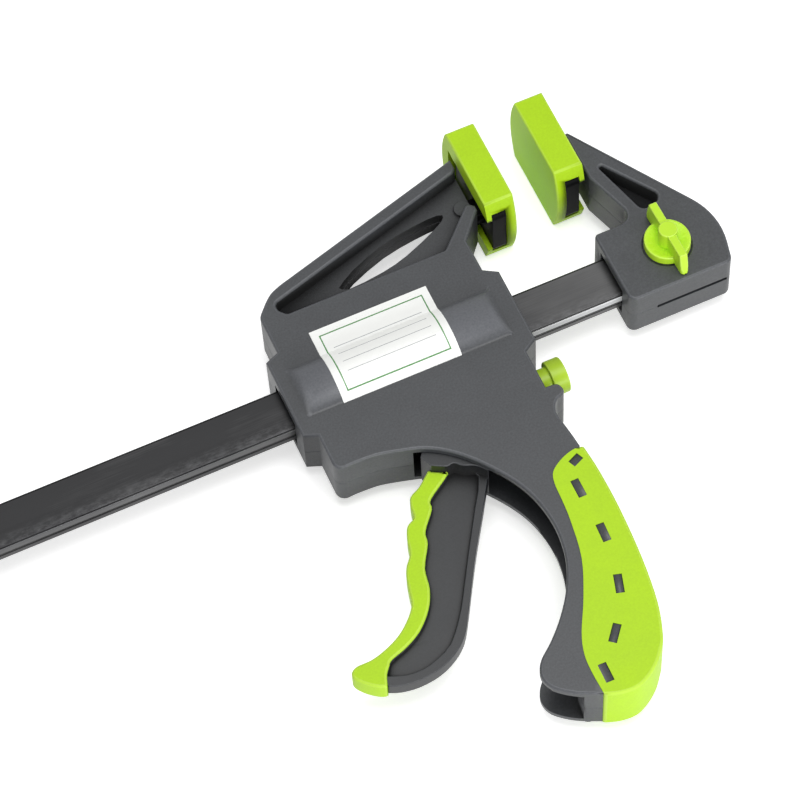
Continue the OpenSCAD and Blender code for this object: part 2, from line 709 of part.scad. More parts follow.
// Brake plate, its rest between two ribs, and the seat of its spring
brake_gap = 4.2;
brake_x = wall_x - brake_gap - brake_t / 2 - button_travel;
brake_top = bar_y + chamber_half - play;
brake_hinge = [brake_x, brake_top - brake_t / 2];
button_drop = 30.7;
button_y = bar_y - button_drop;
brake_rest_t = 2;
brake_spring_up = 2;
brake_spring_y = button_y + brake_spring_up;
brake_arm = brake_hinge.y - brake_spring_y;
brake_spring_x1 = brake_x + brake_arm * sin(brake_lean) - brake_t / 2 - play;
brake_spring_l = 11.5;
brake_seat_t = 3;

module brake_rests() {
    gap = brake_t / 2 + 2 * play + brake_rest_t / 2;
    for (s = [-1, 1]) block(brake_x + s * gap - brake_rest_t / 2, brake_x + s * gap + brake_rest_t / 2,
        bar_y + bar_w / 2 + 2 * bar_fit, bar_y + chamber_half + over, 0, inner_half + over);
    block(brake_spring_x1 - brake_spring_l - brake_seat_t, brake_spring_x1 - brake_spring_l,
        brake_spring_y - brake_spring_r - brake_wire, brake_spring_y + brake_spring_r + brake_wire,
        0, inner_half + over);
}

// One shell of the body, above the parting plane
module body_half() {
    slot_half = bar_w / 2 + bar_fit;
    difference() {
        union() {
            slab(body_outline(core_back), 0, half_t);
            barrel();
        }
        difference() {
            union() {
                slab(room_outline(), -over, inner_half);
                block(spring_x, wall_x, bar_y - chamber_half, bar_y + chamber_half, -over, inner_half);
                along_x(spring_x, bar_y, 0)
                    cylinder(r = barrel_r - barrel_wall, h = barrel_right - barrel_ramp - spring_x);
            }
            brake_rests();
        }
        rib_room_row();
        slab(pocket_outline(), arm_web / 2, half_t + over);
        slab(curve([for (p = slot_shares) high(p)], 2), -over, half_t);
        block(left_x - over, right_x + over, bar_y - slot_half, bar_y + slot_half, -over, bar_t / 2 + bar_fit);
        for (x = [left_x, right_x]) block(x - mouth_d, x + mouth_d, bar_y - slot_half, bar_y + slot_half,
            -over, mouth_h / 2);
        block(wall_x - over, right_x + over, bar_y - bar_w / 2 - bar_fit, bar_y + bar_w / 2 + bar_fit,
            -over, bar_t / 2 + bar_fit);
        post(pivot, trigger_pin_r, -over, half_t - wall / 2);
        along_x(wall_x - over, button_y, 0) cylinder(r = stem_r + running, h = wall + 2 * over);
        slab(grip_cut(), half_t - grip_skin, half_t + over);
        on_moving_jaw() swivel_seat();
        on_moving_jaw() post([pad_d + swivel_back, -swivel_drop], swivel_r, -over, boss_half - play / 2);
    }
    on_moving_jaw() difference() {
        post([pad_d + swivel_back, -swivel_drop], swivel_r + wall / 2, arm_web / 2 - over, boss_half);
        post([pad_d + swivel_back, -swivel_drop], swivel_r, 0, boss_half - play / 2);
    }
    for (w = windows()) slab(window_outline(w, 0), half_t - grip_skin - over / 5, half_t + grip_proud / 2);
}

module housing_front_shell() {
    color(nylon) difference() {
        body_half();
        for (p = body_screw_places) post(p, screw_r, -over, inner_half);
    }
}

module housing_rear_shell() {
    color(nylon) difference() {
        mirror([0, 0, 1]) body_half();
        for (p = body_screw_places) {
            post(p, screw_r, -half_t, over);
            post(p, screw_head_r + play / 2, -half_t - over, -body_head_seat);
        }
    }
}

module housing_screws() {
    color(bright_steel) for (p = body_screw_places)
        screw(p, screw_r, screw_head_r, -body_head_seat, inner_half - play);
}

// Soft grip round the back of the handle

// Windows: middle as shares, the turn of the long side from the Y axis, and its share of the length
window_shares = [[0.091, 0.43, -66, 0.62], [0.134, 0.498, 0, 1], [0.13, 0.623, -3, 1], [0.171, 0.753, -17, 1],
    [0.274, 0.859, -39, 1], [0.374, 0.937, -1, 1]];
function windows() = [for (w = window_shares) [each low(w), w[2], w[3]]];
function window_outline(w, grow) =
    let (l = w[3] * window_l / 2 + grow, t = window_w / 2 + grow, c = cos(w[2]), s = sin(w[2]))
    [for (q = [[-t, -l], [t, -l], [t, l], [-t, l]]) [w[0] + q.x * c - q.y * s, w[1] + q.x * s + q.y * c]];

grip_front = curve([for (p = grip_front_shares) low(p)]);
// The region that the grip's sides cover, and the same with its back edge moved out of the way
function grip_region() = concat(grip_front, grip_back);
function grip_cut() = concat(grip_front, shifted(grip_back, over));
// The room that the shells' core takes between the grip's sides
function grip_hollow() = concat(core_back,
    [for (p = [back_shares[0], grip_hollow_shares[0], grip_hollow_shares[1], lower_shares[len(lower_shares) - 1]])
        low(p)]);
grip_hollow_shares = [[0.3, 0.4], [0.5, 0.9]];

module handle_grip() {
    color(lime) difference() {
        slab(grip_region(), -half_t - grip_proud, half_t + grip_proud);
        slab(grip_hollow(), -half_t + grip_skin, half_t - grip_skin);
        for (w = windows()) slab(window_outline(w, running), -body_t, body_t);
    }
}

// Label, lying on the flat side and over the barrel

label_top = 24;
label_inset = 30.5;
label_lift = 0.02;
module label() {
    x1 = right_x - label_inset;
    x0 = x1 - label_w;
    r = barrel_r + label_lift;
    z = half_t + label_lift;
    reach = sqrt(pow(r, 2) - pow(z, 2));
    color(paper) difference() {
        union() {
            block(x0, x1, bar_y + reach - label_t, bar_y + label_top, z, z + label_t);
            intersection() {
                along_x(x0, bar_y, 0) cylinder(r = r + label_t, h = label_w);
                block(x0, x1, bar_y - reach, bar_y + barrel_r, z, z + barrel_r);
            }
        }
        along_x(x0 - over, bar_y, 0) cylinder(r = r, h = label_w + 2 * over);
    }
}

// Trigger

cam_half = plate_w / 2 - play;
tgrip_front_shares = [[0.601, 0.283], [0.668, 0.316], [0.715, 0.331], [0.732, 0.355], [0.741, 0.383],
    [0.778, 0.397], [0.802, 0.427], [0.818, 0.463], [0.85, 0.488], [0.869, 0.511], [0.885, 0.547],
    [0.899, 0.58], [0.939, 0.61], [0.998, 0.638], [1.067, 0.657], [1.13, 0.667], [1.19, 0.668],
    [1.217, 0.676], [1.223, 0.688], [1.212, 0.702], [1.185, 0.72], [1.15, 0.736], [1.12, 0.743]];
tgrip_back_shares = [[0.54, 0.297], [0.55, 0.316], [0.648, 0.356], [0.663, 0.381], [0.723, 0.425],
    [0.738, 0.457], [0.79, 0.51], [0.81, 0.563], [0.85, 0.608], [0.916, 0.648], [0.99, 0.672],
    [1.06, 0.686], [1.08, 0.698], [1.102, 0.715], [1.12, 0.743]];
rim_shares = [[1.118, 0.7385], [1.07, 0.75], [0.997, 0.756], [0.91, 0.75], [0.835, 0.731], [0.774, 0.702],
    [0.72, 0.654], [0.65, 0.584], [0.576, 0.512], [0.491, 0.435], [0.408, 0.358]];
rim_inner_shares = [[1.1, 0.716], [1.04, 0.73], [0.97, 0.734], [0.902, 0.724], [0.83, 0.703], [0.76, 0.655],
    [0.709, 0.61], [0.611, 0.514], [0.51, 0.418], [0.438, 0.346], [0.47, 0.3]];
hub_front_shares = [[0.62, 0.262]];
ridge_shares = [[0.598, 0.292], [0.545, 0.309], [0.514, 0.308], [0.486, 0.323], [0.44, 0.336], [0.405, 0.36]];
hub_back_shares = [[0.396, 0.32], [0.415, 0.25]];
web_root_shares = [[0.43, 0.31], [0.58, 0.27]];

tgrip_front = curve([for (p = tgrip_front_shares) low(p)]);
tgrip_back = curve([for (p = tgrip_back_shares) low(p)]);
web_back = curve([for (i = [0:len(tgrip_back_shares) - 2]) low(tgrip_back_shares[i])]);
// The trigger inside its soft grip, cut straight across where the grip turns round the tip
tip_start = 16;
tip_end = 20;
trigger_front = [for (i = [0:len(tgrip_front) - 1]) if (i <= tip_start * curve_steps || i >= tip_end * curve_steps)
    shifted(tgrip_front, -tgrip_wall)[i]];

function trigger_outline() = concat(
    trigger_front, curve([for (p = rim_shares) low(p)], 3), [for (p = web_root_shares) low(p)]);
function hub_outline() = concat(
    [pivot + [-trigger_boss_r / 2, 0]], [for (p = hub_front_shares) low(p)],
    curve([for (p = ridge_shares) low(p)], 3), [for (p = hub_back_shares) low(p)],
    [pivot + [trigger_boss_r / 2, 0]]);
function arm_outline() = [
    pivot + [-trigger_boss_r / 1.2, 0], cam + [-cam_r / 1.1, 0], cam + [cam_r / 1.1, 0],
    pivot + [trigger_boss_r / 1.2, 0]];

module trigger() {
    rim = trigger_t / 2;
    hub = hub_t / 2;
    color(nylon) difference() {
        union() {
            difference() {
                slab(trigger_outline(), -rim, rim);
                for (s = [0, 1]) mirror([0, 0, s])
                    slab(concat(web_back, curve([for (p = rim_inner_shares) low(p)], 2)), web_t / 2, rim + over);
            }
            slab(hub_outline(), -hub, hub);
            post(pivot, trigger_boss_r, -hub, hub);
            post(cam, cam_r, -cam_half, cam_half);
            slab(arm_outline(), -cam_half, cam_half);
        }
        post(pivot, trigger_pin_r + running, -half_t, half_t);
    }
}

module trigger_grip() {
    color(lime) difference() {
        slab(concat(tgrip_front, backwards(tgrip_back)), -tgrip_t / 2, tgrip_t / 2);
        slab(trigger_outline(), -trigger_t / 2, trigger_t / 2);
        slab(hub_outline(), -tgrip_t, tgrip_t);
    }
}

module trigger_pin() {
    color(bright_steel) post(pivot, trigger_pin_r, -half_t + wall / 2 + play / 2, half_t - wall / 2 - play / 2);
}

// Drive and brake

module drive_plates() {
    hole = bar_w / 2 + plate_fit;
    color(bright_steel) difference() {
        for (i = [0:plates - 1]) block(plates_x - i * plate_pitch - plate_t, plates_x - i * plate_pitch,
            plate_top - plate_h, plate_top, -plate_w / 2, plate_w / 2);
        block(plates_left - over, plates_x + over, bar_y - hole, bar_y + hole,
            -bar_t / 2 - plate_fit, bar_t / 2 + plate_fit);
    }
}

module drive_spring() {
    color(steel) translate([0, bar_y, 0])
        coil(spring_x + play / 3, plates_left - play / 3, spring_r, spring_wire, spring_turns);
}

module brake_plate() {
    hole = bar_w / 2 + 1.5 * plate_fit;
    color(bright_steel) translate([brake_hinge.x, brake_hinge.y, 0]) rotate(brake_lean)
        difference() {
            block(-brake_t / 2, brake_t / 2, brake_top - brake_hinge.y - brake_h, brake_top - brake_hinge.y,
                -plate_w / 2, plate_w / 2);
            block(-brake_t, brake_t, bar_y - brake_hinge.y - hole, bar_y - brake_hinge.y + hole,
                -bar_t / 2 - plate_fit, bar_t / 2 + plate_fit);
        }
}

module brake_spring() {
    color(steel) translate([0, brake_spring_y, 0])
        coil(brake_spring_x1 - brake_spring_l + play / 3, brake_spring_x1, brake_spring_r, brake_wire, brake_turns);
}

// Release button

button_out = side_x + stem_show;
button_tip = brake_x + (brake_hinge.y - button_y) * sin(brake_lean) + brake_t / 2 + play;
button_clip_x = wall_x - clip_t - play;
module release_button() {
    color(lime) difference() {
        union() {
            along_x(button_tip, button_y, 0) cylinder(r = stem_r, h = button_out - button_tip + over);
            along_x(button_out, button_y, 0) cylinder(r = button_r, h = button_l);
        }
        difference() {
            along_x(button_clip_x - play / 2, button_y, 0) cylinder(r = stem_r + over, h = clip_t + play);
            along_x(button_clip_x - play, button_y, 0) cylinder(r = stem_r - clip_w / 3, h = clip_t + 2 * play);
        }
    }
}

module button_clip() {
    color(bright_steel) along_x(button_clip_x, button_y, 0) rotate(180) ring(stem_r - clip_w / 3, clip_w);
}

bar();
bar_end_stop();
fixed_jaw_front_shell();
fixed_jaw_rear_shell();
fixed_jaw_screws();
lock_knob();
lock_pin();
lock_clip();
fixed_swivel_pin();
fixed_foot();
fixed_pad();
housing_front_shell();
housing_rear_shell();
housing_screws();
handle_grip();
label();
trigger();
trigger_grip();
trigger_pin();
drive_plates();
drive_spring();
brake_plate();
brake_spring();
release_button();
button_clip();
moving_swivel_pin();
moving_foot();
moving_pad();
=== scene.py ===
"""Quick release bar clamp, lying on its side, dressed for a studio picture.

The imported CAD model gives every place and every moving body. The classes below take the shells,
pads, grips and levers over from it, give their edges the small radii of moulded and ground parts,
add what the CAD model leaves out, and put a procedural finish on each piece.
"""

from __future__ import annotations

import json
import logging
import math
from dataclasses import dataclass, field, replace
from enum import Enum
from typing import Any, Callable, Iterable, Sequence

import bmesh
import bpy
from mathutils import Matrix, Vector
from mathutils.bvhtree import BVHTree

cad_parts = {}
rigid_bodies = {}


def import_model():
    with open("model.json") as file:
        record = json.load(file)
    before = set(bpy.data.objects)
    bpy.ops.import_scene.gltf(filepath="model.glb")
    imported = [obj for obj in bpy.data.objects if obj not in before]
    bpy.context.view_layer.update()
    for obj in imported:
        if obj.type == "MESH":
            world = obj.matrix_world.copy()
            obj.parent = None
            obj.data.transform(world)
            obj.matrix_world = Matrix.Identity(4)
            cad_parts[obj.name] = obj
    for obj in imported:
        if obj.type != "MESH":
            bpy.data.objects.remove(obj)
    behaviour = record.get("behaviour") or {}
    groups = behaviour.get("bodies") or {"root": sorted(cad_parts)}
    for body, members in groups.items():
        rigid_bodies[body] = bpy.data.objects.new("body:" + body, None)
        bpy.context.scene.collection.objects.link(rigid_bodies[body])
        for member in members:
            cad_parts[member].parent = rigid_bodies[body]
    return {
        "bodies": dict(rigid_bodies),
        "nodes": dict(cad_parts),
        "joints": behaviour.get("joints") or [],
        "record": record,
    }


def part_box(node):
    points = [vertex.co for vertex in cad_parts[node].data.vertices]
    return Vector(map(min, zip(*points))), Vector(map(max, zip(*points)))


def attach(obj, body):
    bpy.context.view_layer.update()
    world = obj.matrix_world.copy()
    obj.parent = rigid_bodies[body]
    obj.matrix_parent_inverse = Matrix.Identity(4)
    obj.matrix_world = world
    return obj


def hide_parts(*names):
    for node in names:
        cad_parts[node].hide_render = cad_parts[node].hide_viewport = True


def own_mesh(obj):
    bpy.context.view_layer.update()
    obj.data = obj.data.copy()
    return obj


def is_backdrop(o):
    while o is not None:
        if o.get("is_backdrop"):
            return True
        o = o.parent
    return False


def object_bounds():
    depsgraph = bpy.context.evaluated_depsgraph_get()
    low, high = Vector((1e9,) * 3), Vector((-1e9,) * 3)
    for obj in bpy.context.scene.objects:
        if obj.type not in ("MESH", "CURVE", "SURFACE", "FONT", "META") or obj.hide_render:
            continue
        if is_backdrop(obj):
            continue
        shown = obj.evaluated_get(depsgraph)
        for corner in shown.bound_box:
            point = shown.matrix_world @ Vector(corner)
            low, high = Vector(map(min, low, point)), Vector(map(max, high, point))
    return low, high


log = logging.getLogger("bar_clamp")

MM = 0.001
# Face attributes that the finishes read: edges rubbed by hands, and the bar's narrow faces with a
# painted highlight; lines that hold oil and dirt, and painted shade on the bar's rounded edge.
WORN_AND_SHEEN = "worn_and_sheen"
OIL_AND_SHADE = "oil_and_shade"
NEAR = 0.01 * MM  # points and faces closer than this lie in one plane
FLOOR_GAP = 0.2 * MM  # keeps the bench just clear of the faces that rest on it
# Most values of a noise pattern lie between these two.
PLASTIC_NOISE = (0.3, 0.7)
METAL_NOISE = (0.35, 0.7)

EdgeTest = Callable[[bmesh.types.BMEdge], bool]


class Body(Enum):
    """The moving bodies of the clamp, by their names in the frame."""

    BAR = "bar_and_fixed_jaw"
    LOCK = "lock"
    FIXED_PAD = "fixed_pad_group"
    JAW = "moving_jaw"
    TRIGGER = "trigger_group"
    DRIVE = "drive"
    BRAKE = "brake"
    BUTTON = "button"
    MOVING_PAD = "moving_pad_group"


class Joint(Enum):
    """The joints that push a spring together."""

    DRIVE = "drive_stroke"
    BRAKE = "brake_tilt"


class Slot(Enum):
    """The material slots of the record."""

    NYLON = "grey_nylon"
    LIME = "lime_plastic"
    SOFT = "lime_soft"
    BLACK = "black_nylon"
    DARK_STEEL = "dark_steel"
    ZINC = "zinc_steel"
    LABEL = "label_film"


class Half(Enum):
    """The two halves of a moulded body, by their part of the nodes' names."""

    FRONT = "front"
    REAR = "rear"


class Side(Enum):
    """The two jaws that carry a pad, by their part of the nodes' names."""

    FIXED = "fixed"
    MOVING = "moving"


def linear(colour: str) -> tuple[float, float, float, float]:
    """Turns an sRGB hex colour into Blender's linear one.

    Args:
        colour: six hex digits with a leading hash.

    Returns:
        Red, green, blue and an alpha of 1.
    """
    parts = [int(colour[i : i + 2], 16) / 255 for i in (1, 3, 5)]
    red, green, blue = [c / 12.92 if c <= 0.04045 else ((c + 0.055) / 1.055) ** 2.4 for c in parts]
    return red, green, blue, 1.0


def add(
    tree: bpy.types.NodeTree,
    kind: str,
    inputs: dict[str | int, Any] | None = None,
    **settings: Any,
) -> bpy.types.Node:
    """Adds one shader node with its settings, values and links.

    Args:
        tree: the material's node tree.
        kind: the node's type, without the leading "ShaderNode".
        inputs: input name or number to a value, or to the socket that feeds it. A node stands for
            its first output.
        **settings: properties of the node itself.

    Returns:
        The new node.
    """
    made = tree.nodes.new("ShaderNode" + kind)
    for name, value in settings.items():
        setattr(made, name, value)
    for name, value in (inputs or {}).items():
        value = value.outputs[0] if isinstance(value, bpy.types.Node) else value
        if isinstance(value, bpy.types.NodeSocket):
            tree.links.new(value, made.inputs[name])
        else:
            made.inputs[name].default_value = value
    return made


@dataclass(frozen=True)
class Finish:
    """What every finish shares: its slot in the record and its plain gloss."""

    name: str
    slot: Slot
    colour: str
    roughness: float
    ior: float = 1.5
    metallic: float = 0.0
    specular: float = 0.5

    def start(self) -> tuple[bpy.types.Material, bpy.types.NodeTree, bpy.types.Node]:
        """Makes the plain material with its shader.

        Returns:
            The material, its node tree and its Principled shader.
        """
        material = bpy.data.materials.new(self.name)
        material.use_nodes = True
        tree = material.node_tree
        tree.nodes.clear()
        shader = add(
            tree,
            "BsdfPrincipled",
            {
                "Base Color": linear(self.colour),
                "Roughness": self.roughness,
                "Metallic": self.metallic,
                "Specular IOR Level": self.specular,
            },
        )
        if self.metallic == 0:
            shader.inputs["IOR"].default_value = self.ior
        add(tree, "OutputMaterial", {"Surface": shader.outputs[0]})
        material.diffuse_color = linear(self.colour)
        return material, tree, shader

    def place(
        self, tree: bpy.types.NodeTree, stretch: Sequence[float] = (1, 1, 1), turn: float = 0.0
    ) -> bpy.types.NodeSocket:
        """Gives the place on the piece in millimetres.

        Args:
            tree: the material's node tree.
            stretch: how much faster the pattern runs along each axis.
            turn: turn about Z in degrees.

        Returns:
            The vector socket.
        """
        mapping = {
            "Vector": add(tree, "TexCoord").outputs["Object"],
            "Scale": [s / MM for s in stretch],
            "Rotation": (0, 0, math.radians(turn)),
        }
        return add(tree, "Mapping", mapping).outputs["Vector"]

    def make(self) -> bpy.types.Material:
        """Builds the finish. Each kind of finish has its own."""
        raise NotImplementedError


@dataclass(frozen=True)
class MouldedPlastic(Finish):
    """Moulded plastic out of a spark-eroded tool.

    The eye sees an even matt face whose grain breaks the gloss, a slow change of tone where the
    melt flowed, edges that are polished and a little paler from handling, paler raised parts that
    are partly rubbed and partly a painted sheen, and painted shade in the deep recesses.
    """

    flow_mm: float = 16.0  # size of the slow change of tone
    grain_mm: float = 0.9  # erosion grain is about 0.1 mm; drawn coarser so that it shows
    flow: float = 0.07  # how far the brightness changes with the flow
    speck: float = 0.2  # and with the grain
    bump: float = 0.16
    bump_deep: float = 0.12 * MM
    edge: float = 0.5  # how much of the edge colour the rubbed edges show
    edge_colour: str = "#8C8D90"
    gloss_change: float = 0.08
    recess_shade: float = 0.0  # how much darker painted shade makes the deep recesses
    recess_mm: float = 18.0
    recess_open: float = 0.5  # how much of the sky the deepest ones see
    crest_rub_and_sheen: float = 0.0  # how much paler the parts that stand proud of the flat sides are: rubbed by hands, and a painted sheen
    crest_from: float = 13.7 * MM
    crest_to: float = 16.5 * MM

    def make(self) -> bpy.types.Material:
        """Builds the material.

        Returns:
            The finished material.
        """
        material, tree, shader = self.start()
        place = self.place(tree)
        slow = add(
            tree,
            "TexNoise",
            {"Vector": place, "Scale": 1 / self.flow_mm, "Detail": 3.0, "Distortion": 0.6},
        )
        grain = add(
            tree,
            "TexNoise",
            {"Vector": place, "Scale": 1 / self.grain_mm, "Detail": 2.0, "Roughness": 0.6},
        )
        drift, specks = (
            add(
                tree,
                "MapRange",
                {
                    "Value": noise,
                    "From Min": PLASTIC_NOISE[0],
                    "From Max": PLASTIC_NOISE[1],
                    "To Min": 1 - change,
                    "To Max": 1 + change,
                },
            )
            for noise, change in ((slow, self.flow), (grain, self.speck))
        )
        value = add(tree, "Math", {0: drift, 1: specks}, operation="MULTIPLY")
        gloss = add(
            tree,
            "Math",
            {0: slow, 1: 2 * self.gloss_change, 2: self.roughness - self.gloss_change},
            operation="MULTIPLY_ADD",
        )
        # painted shade in the deep recesses
        if self.recess_shade:
            value, gloss = self.shaded(tree, value, gloss)
        tone = add(tree, "HueSaturation", {"Color": linear(self.colour), "Value": value})
        # paler edge colour: rubbed edges, and the painted sheen on raised parts
        patchy = add(tree, "Math", {0: self.wear_and_sheen(tree), 1: specks}, operation="MULTIPLY")
        paint = {0: patchy, 6: tone, 7: linear(self.edge_colour)}
        colour = add(tree, "Mix", paint, data_type="RGBA").outputs[2]
        bump = add(
            tree, "Bump", {"Strength": self.bump, "Distance": self.bump_deep, "Height": grain}
        )
        tree.links.new(colour, shader.inputs["Base Color"])
        tree.links.new(gloss.outputs[0], shader.inputs["Roughness"])
        tree.links.new(bump.outputs[0], shader.inputs["Normal"])
        return material

    def shaded(
        self, tree: bpy.types.NodeTree, value: bpy.types.Node, gloss: bpy.types.Node
    ) -> tuple[bpy.types.Node, bpy.types.Node]:
        """Paints shade into the deep recesses: makes them darker and more matt.

        Args:
            tree: the material's node tree.
            value: the brightness without recesses.
            gloss: the roughness without recesses.

        Returns:
            The brightness and the roughness with them.
        """
        reach = {"Distance": self.recess_mm * MM}
        sky = add(tree, "AmbientOcclusion", reach, samples=10, only_local=True).outputs["AO"]
        darkest = 1 - self.recess_shade
        shade = add(
            tree,
            "MapRange",
            {"Value": sky, "From Min": self.recess_open, "From Max": 1.0, "To Min": darkest},
        )
        matt = add(tree, "MapRange", {"Value": shade, "From Min": 1.0, "From Max": darkest})
        value = add(tree, "Math", {0: value, 1: shade}, operation="MULTIPLY")
        gloss = add(tree, "Math", {0: gloss, 1: matt}, operation="MAXIMUM")
        return value, gloss

    def wear_and_sheen(self, tree: bpy.types.NodeTree) -> bpy.types.Node:
        """Finds where hands and the bench have rubbed the plastic pale, and where the raised parts
        get a painted sheen.

        Args:
            tree: the material's node tree.

        Returns:
            The node that gives the share of the edge colour.
        """
        marked = add(tree, "Attribute", attribute_name=WORN_AND_SHEEN).outputs["Fac"]
        worn_and_sheen = add(tree, "Math", {0: marked, 1: self.edge}, operation="MULTIPLY")
        if not self.crest_rub_and_sheen:
            return worn_and_sheen
        spot = add(tree, "SeparateXYZ", {0: add(tree, "TexCoord").outputs["Object"]})
        height = add(tree, "Math", {0: spot.outputs["Z"]}, operation="ABSOLUTE")
        # paler by height above the flat sides: rubbing, and a painted sheen
        rub_and_sheen = add(
            tree,
            "MapRange",
            {
                "Value": height,
                "From Min": self.crest_from,
                "From Max": self.crest_to,
                "To Max": self.crest_rub_and_sheen,
            },
        )
        return add(tree, "Math", {0: worn_and_sheen, 1: rub_and_sheen}, operation="MAXIMUM")


@dataclass(frozen=True)
class OxideSteel(Finish):
    """Cold drawn flat steel with a black oxide coat.

    The eye sees a dark even metal with faint draw lines. The upper half of its narrow faces has a
    painted highlight, brightest where the jaw rubs, with painted shade on the rounded edge above
    it.
    It is greyer towards the fixed jaw, partly rubbed where the sliding jaw has been and partly a
    painted sheen, with a dark oily line along the narrow faces and dusty scuffs near the edge.
    Each "slow" is how fast a pattern changes along the bar, where 1 is how fast it does across.
    """

    line_mm: float = 0.5  # draw lines, drawn coarser than the real 0.05 mm
    line_slow: float = 0.02
    line_rub: tuple[float, float] = (-0.02, 0.05)  # the least and the most that they add to the rubbed grey and its painted sheen
    line_gloss: float = 0.06
    line_bump: float = 0.08
    line_deep: float = 0.03 * MM
    cloud_mm: float = 16.0
    cloud_slow: float = 0.4
    cloud_rub: tuple[float, float] = (-0.08, 0.12)
    scuff_mm: float = 2.2
    scuff_slow: float = 0.5
    scuff_from: float = 0.42
    scuff_to: float = 0.85
    # grey of the rubbed stretch, which is also a painted sheen towards the fixed jaw
    rub_and_sheen: str = "#7A7A7A"
    # painted highlight along the upper half of the narrow faces, brightest where the jaw rubs
    bright_sheen: str = "#CBCCCE"
    # dark of the oil in the roll line, also painted shade on the rounded edge above it
    oil_and_shade: str = "#0B0B0C"
    dust_colour: str = "#8F9092"
    sheen_rub: float = 0.0  # how far the stretch between the jaws is greyed, partly rubbed and partly a painted sheen
    sheen_rub_from: float = -0.075
    sheen_rub_to: float = 0.01
    least_shine: float = 0.1  # how bright the painted highlight on the narrow faces is beyond it, where 1 is within it
    matt: float = 0.35  # how much rougher the dust and the narrow faces under the painted highlight are
    dust: float = 0.0
    dust_from: float = 7 * MM  # how far from the edge the dust ends, and where it is thickest
    dust_to: float = 1.3 * MM
    edge_y: float = -0.0765  # the bar's front edge, and a height just under its top face
    top_z: float = 4.4 * MM

    def make(self) -> bpy.types.Material:
        """Builds the material.

        Returns:
            The finished material.
        """
        material, tree, shader = self.start()
        spot = add(tree, "SeparateXYZ", {0: add(tree, "TexCoord").outputs["Object"]})
        lines, clouds, scuffs = (
            add(
                tree,
                "TexNoise",
                {
                    "Vector": self.place(tree, (slow, 1, 1)),
                    "Scale": 1 / size,
                    "Detail": detail,
                    "Roughness": roughness,
                },
            )
            for slow, size, detail, roughness in (
                (self.line_slow, self.line_mm, 3.0, 0.5),
                (self.cloud_slow, self.cloud_mm, 3.0, 0.5),
                (self.scuff_slow, self.scuff_mm, 5.0, 0.7),
            )
        )
        rub_and_sheen, shine = (
            add(
                tree,
                "MapRange",
                {
                    "Value": spot.outputs["X"],
                    "From Min": self.sheen_rub_from,
                    "From Max": self.sheen_rub_to,
                    "To Min": least,
                    "To Max": most,
                },
            )
            for least, most in ((0.0, self.sheen_rub), (self.least_shine, 1.0))
        )
        drawn, cloudy = (
            add(
                tree,
                "MapRange",
                {
                    "Value": noise,
                    "From Min": METAL_NOISE[0],
                    "From Max": METAL_NOISE[1],
                    "To Min": least,
                    "To Max": most,
                },
            )
            for noise, (least, most) in ((lines, self.line_rub), (clouds, self.cloud_rub))
        )
        uneven = add(tree, "Math", {0: drawn, 1: cloudy})
        amount = add(tree, "Math", {0: rub_and_sheen, 1: uneven}, use_clamp=True)
        dusty = self.dusty(tree, spot, scuffs)
        worn_and_sheen = add(tree, "Attribute", attribute_name=WORN_AND_SHEEN).outputs["Fac"]
        worn_and_sheen = add(tree, "Math", {0: worn_and_sheen, 1: shine}, operation="MULTIPLY")
        oil_and_shade = add(tree, "Attribute", attribute_name=OIL_AND_SHADE).outputs["Fac"]
        metal = linear(self.colour)
        # layers in order: rubbed grey with a painted sheen, dust, the painted highlight, oil and
        # painted shade
        for there, paint in (
            (amount, self.rub_and_sheen),
            (dusty, self.dust_colour),
            (worn_and_sheen, self.bright_sheen),
            (oil_and_shade, self.oil_and_shade),
        ):
            layer = {0: there, 6: metal, 7: linear(paint)}
            metal = add(tree, "Mix", layer, data_type="RGBA").outputs[2]
        gloss = add(
            tree,
            "Math",
            {0: lines, 1: self.line_gloss, 2: self.roughness - self.line_gloss / 2},
            operation="MULTIPLY_ADD",
        )
        rougher = add(tree, "Math", {0: dusty, 1: worn_and_sheen})
        rougher = add(tree, "Math", {0: rougher, 1: self.matt}, operation="MULTIPLY")
        gloss = add(tree, "Math", {0: gloss, 1: rougher}, use_clamp=True)
        bump = add(
            tree, "Bump", {"Strength": self.line_bump, "Distance": self.line_deep, "Height": lines}
        )
        tree.links.new(metal, shader.inputs["Base Color"])
        tree.links.new(gloss.outputs[0], shader.inputs["Roughness"])
        tree.links.new(bump.outputs[0], shader.inputs["Normal"])
        return material

    def dusty(
        self, tree: bpy.types.NodeTree, spot: bpy.types.Node, scuffs: bpy.types.Node
    ) -> bpy.types.Node:
        """Finds the dusty scuffs on the top face beside the bar's edge.

        Args:
            tree: the material's node tree.
            spot: the node that splits the place on the piece.
            scuffs: their noise pattern.

        Returns:
            The node that gives the share of the dust colour.
        """
        beside = add(
            tree,
            "MapRange",
            {
                "Value": spot.outputs["Y"],
                "From Min": self.edge_y + self.dust_from,
                "From Max": self.edge_y + self.dust_to,
                "To Max": self.dust,
            },
        )
        on_top = add(tree, "Math", {0: spot.outputs["Z"], 1: self.top_z}, operation="GREATER_THAN")
        beside = add(tree, "Math", {0: beside, 1: on_top}, operation="MULTIPLY")
        flecks = add(
            tree,
            "MapRange",
            {"Value": scuffs, "From Min": self.scuff_from, "From Max": self.scuff_to},
        )
        return add(tree, "Math", {0: beside, 1: flecks}, operation="MULTIPLY")


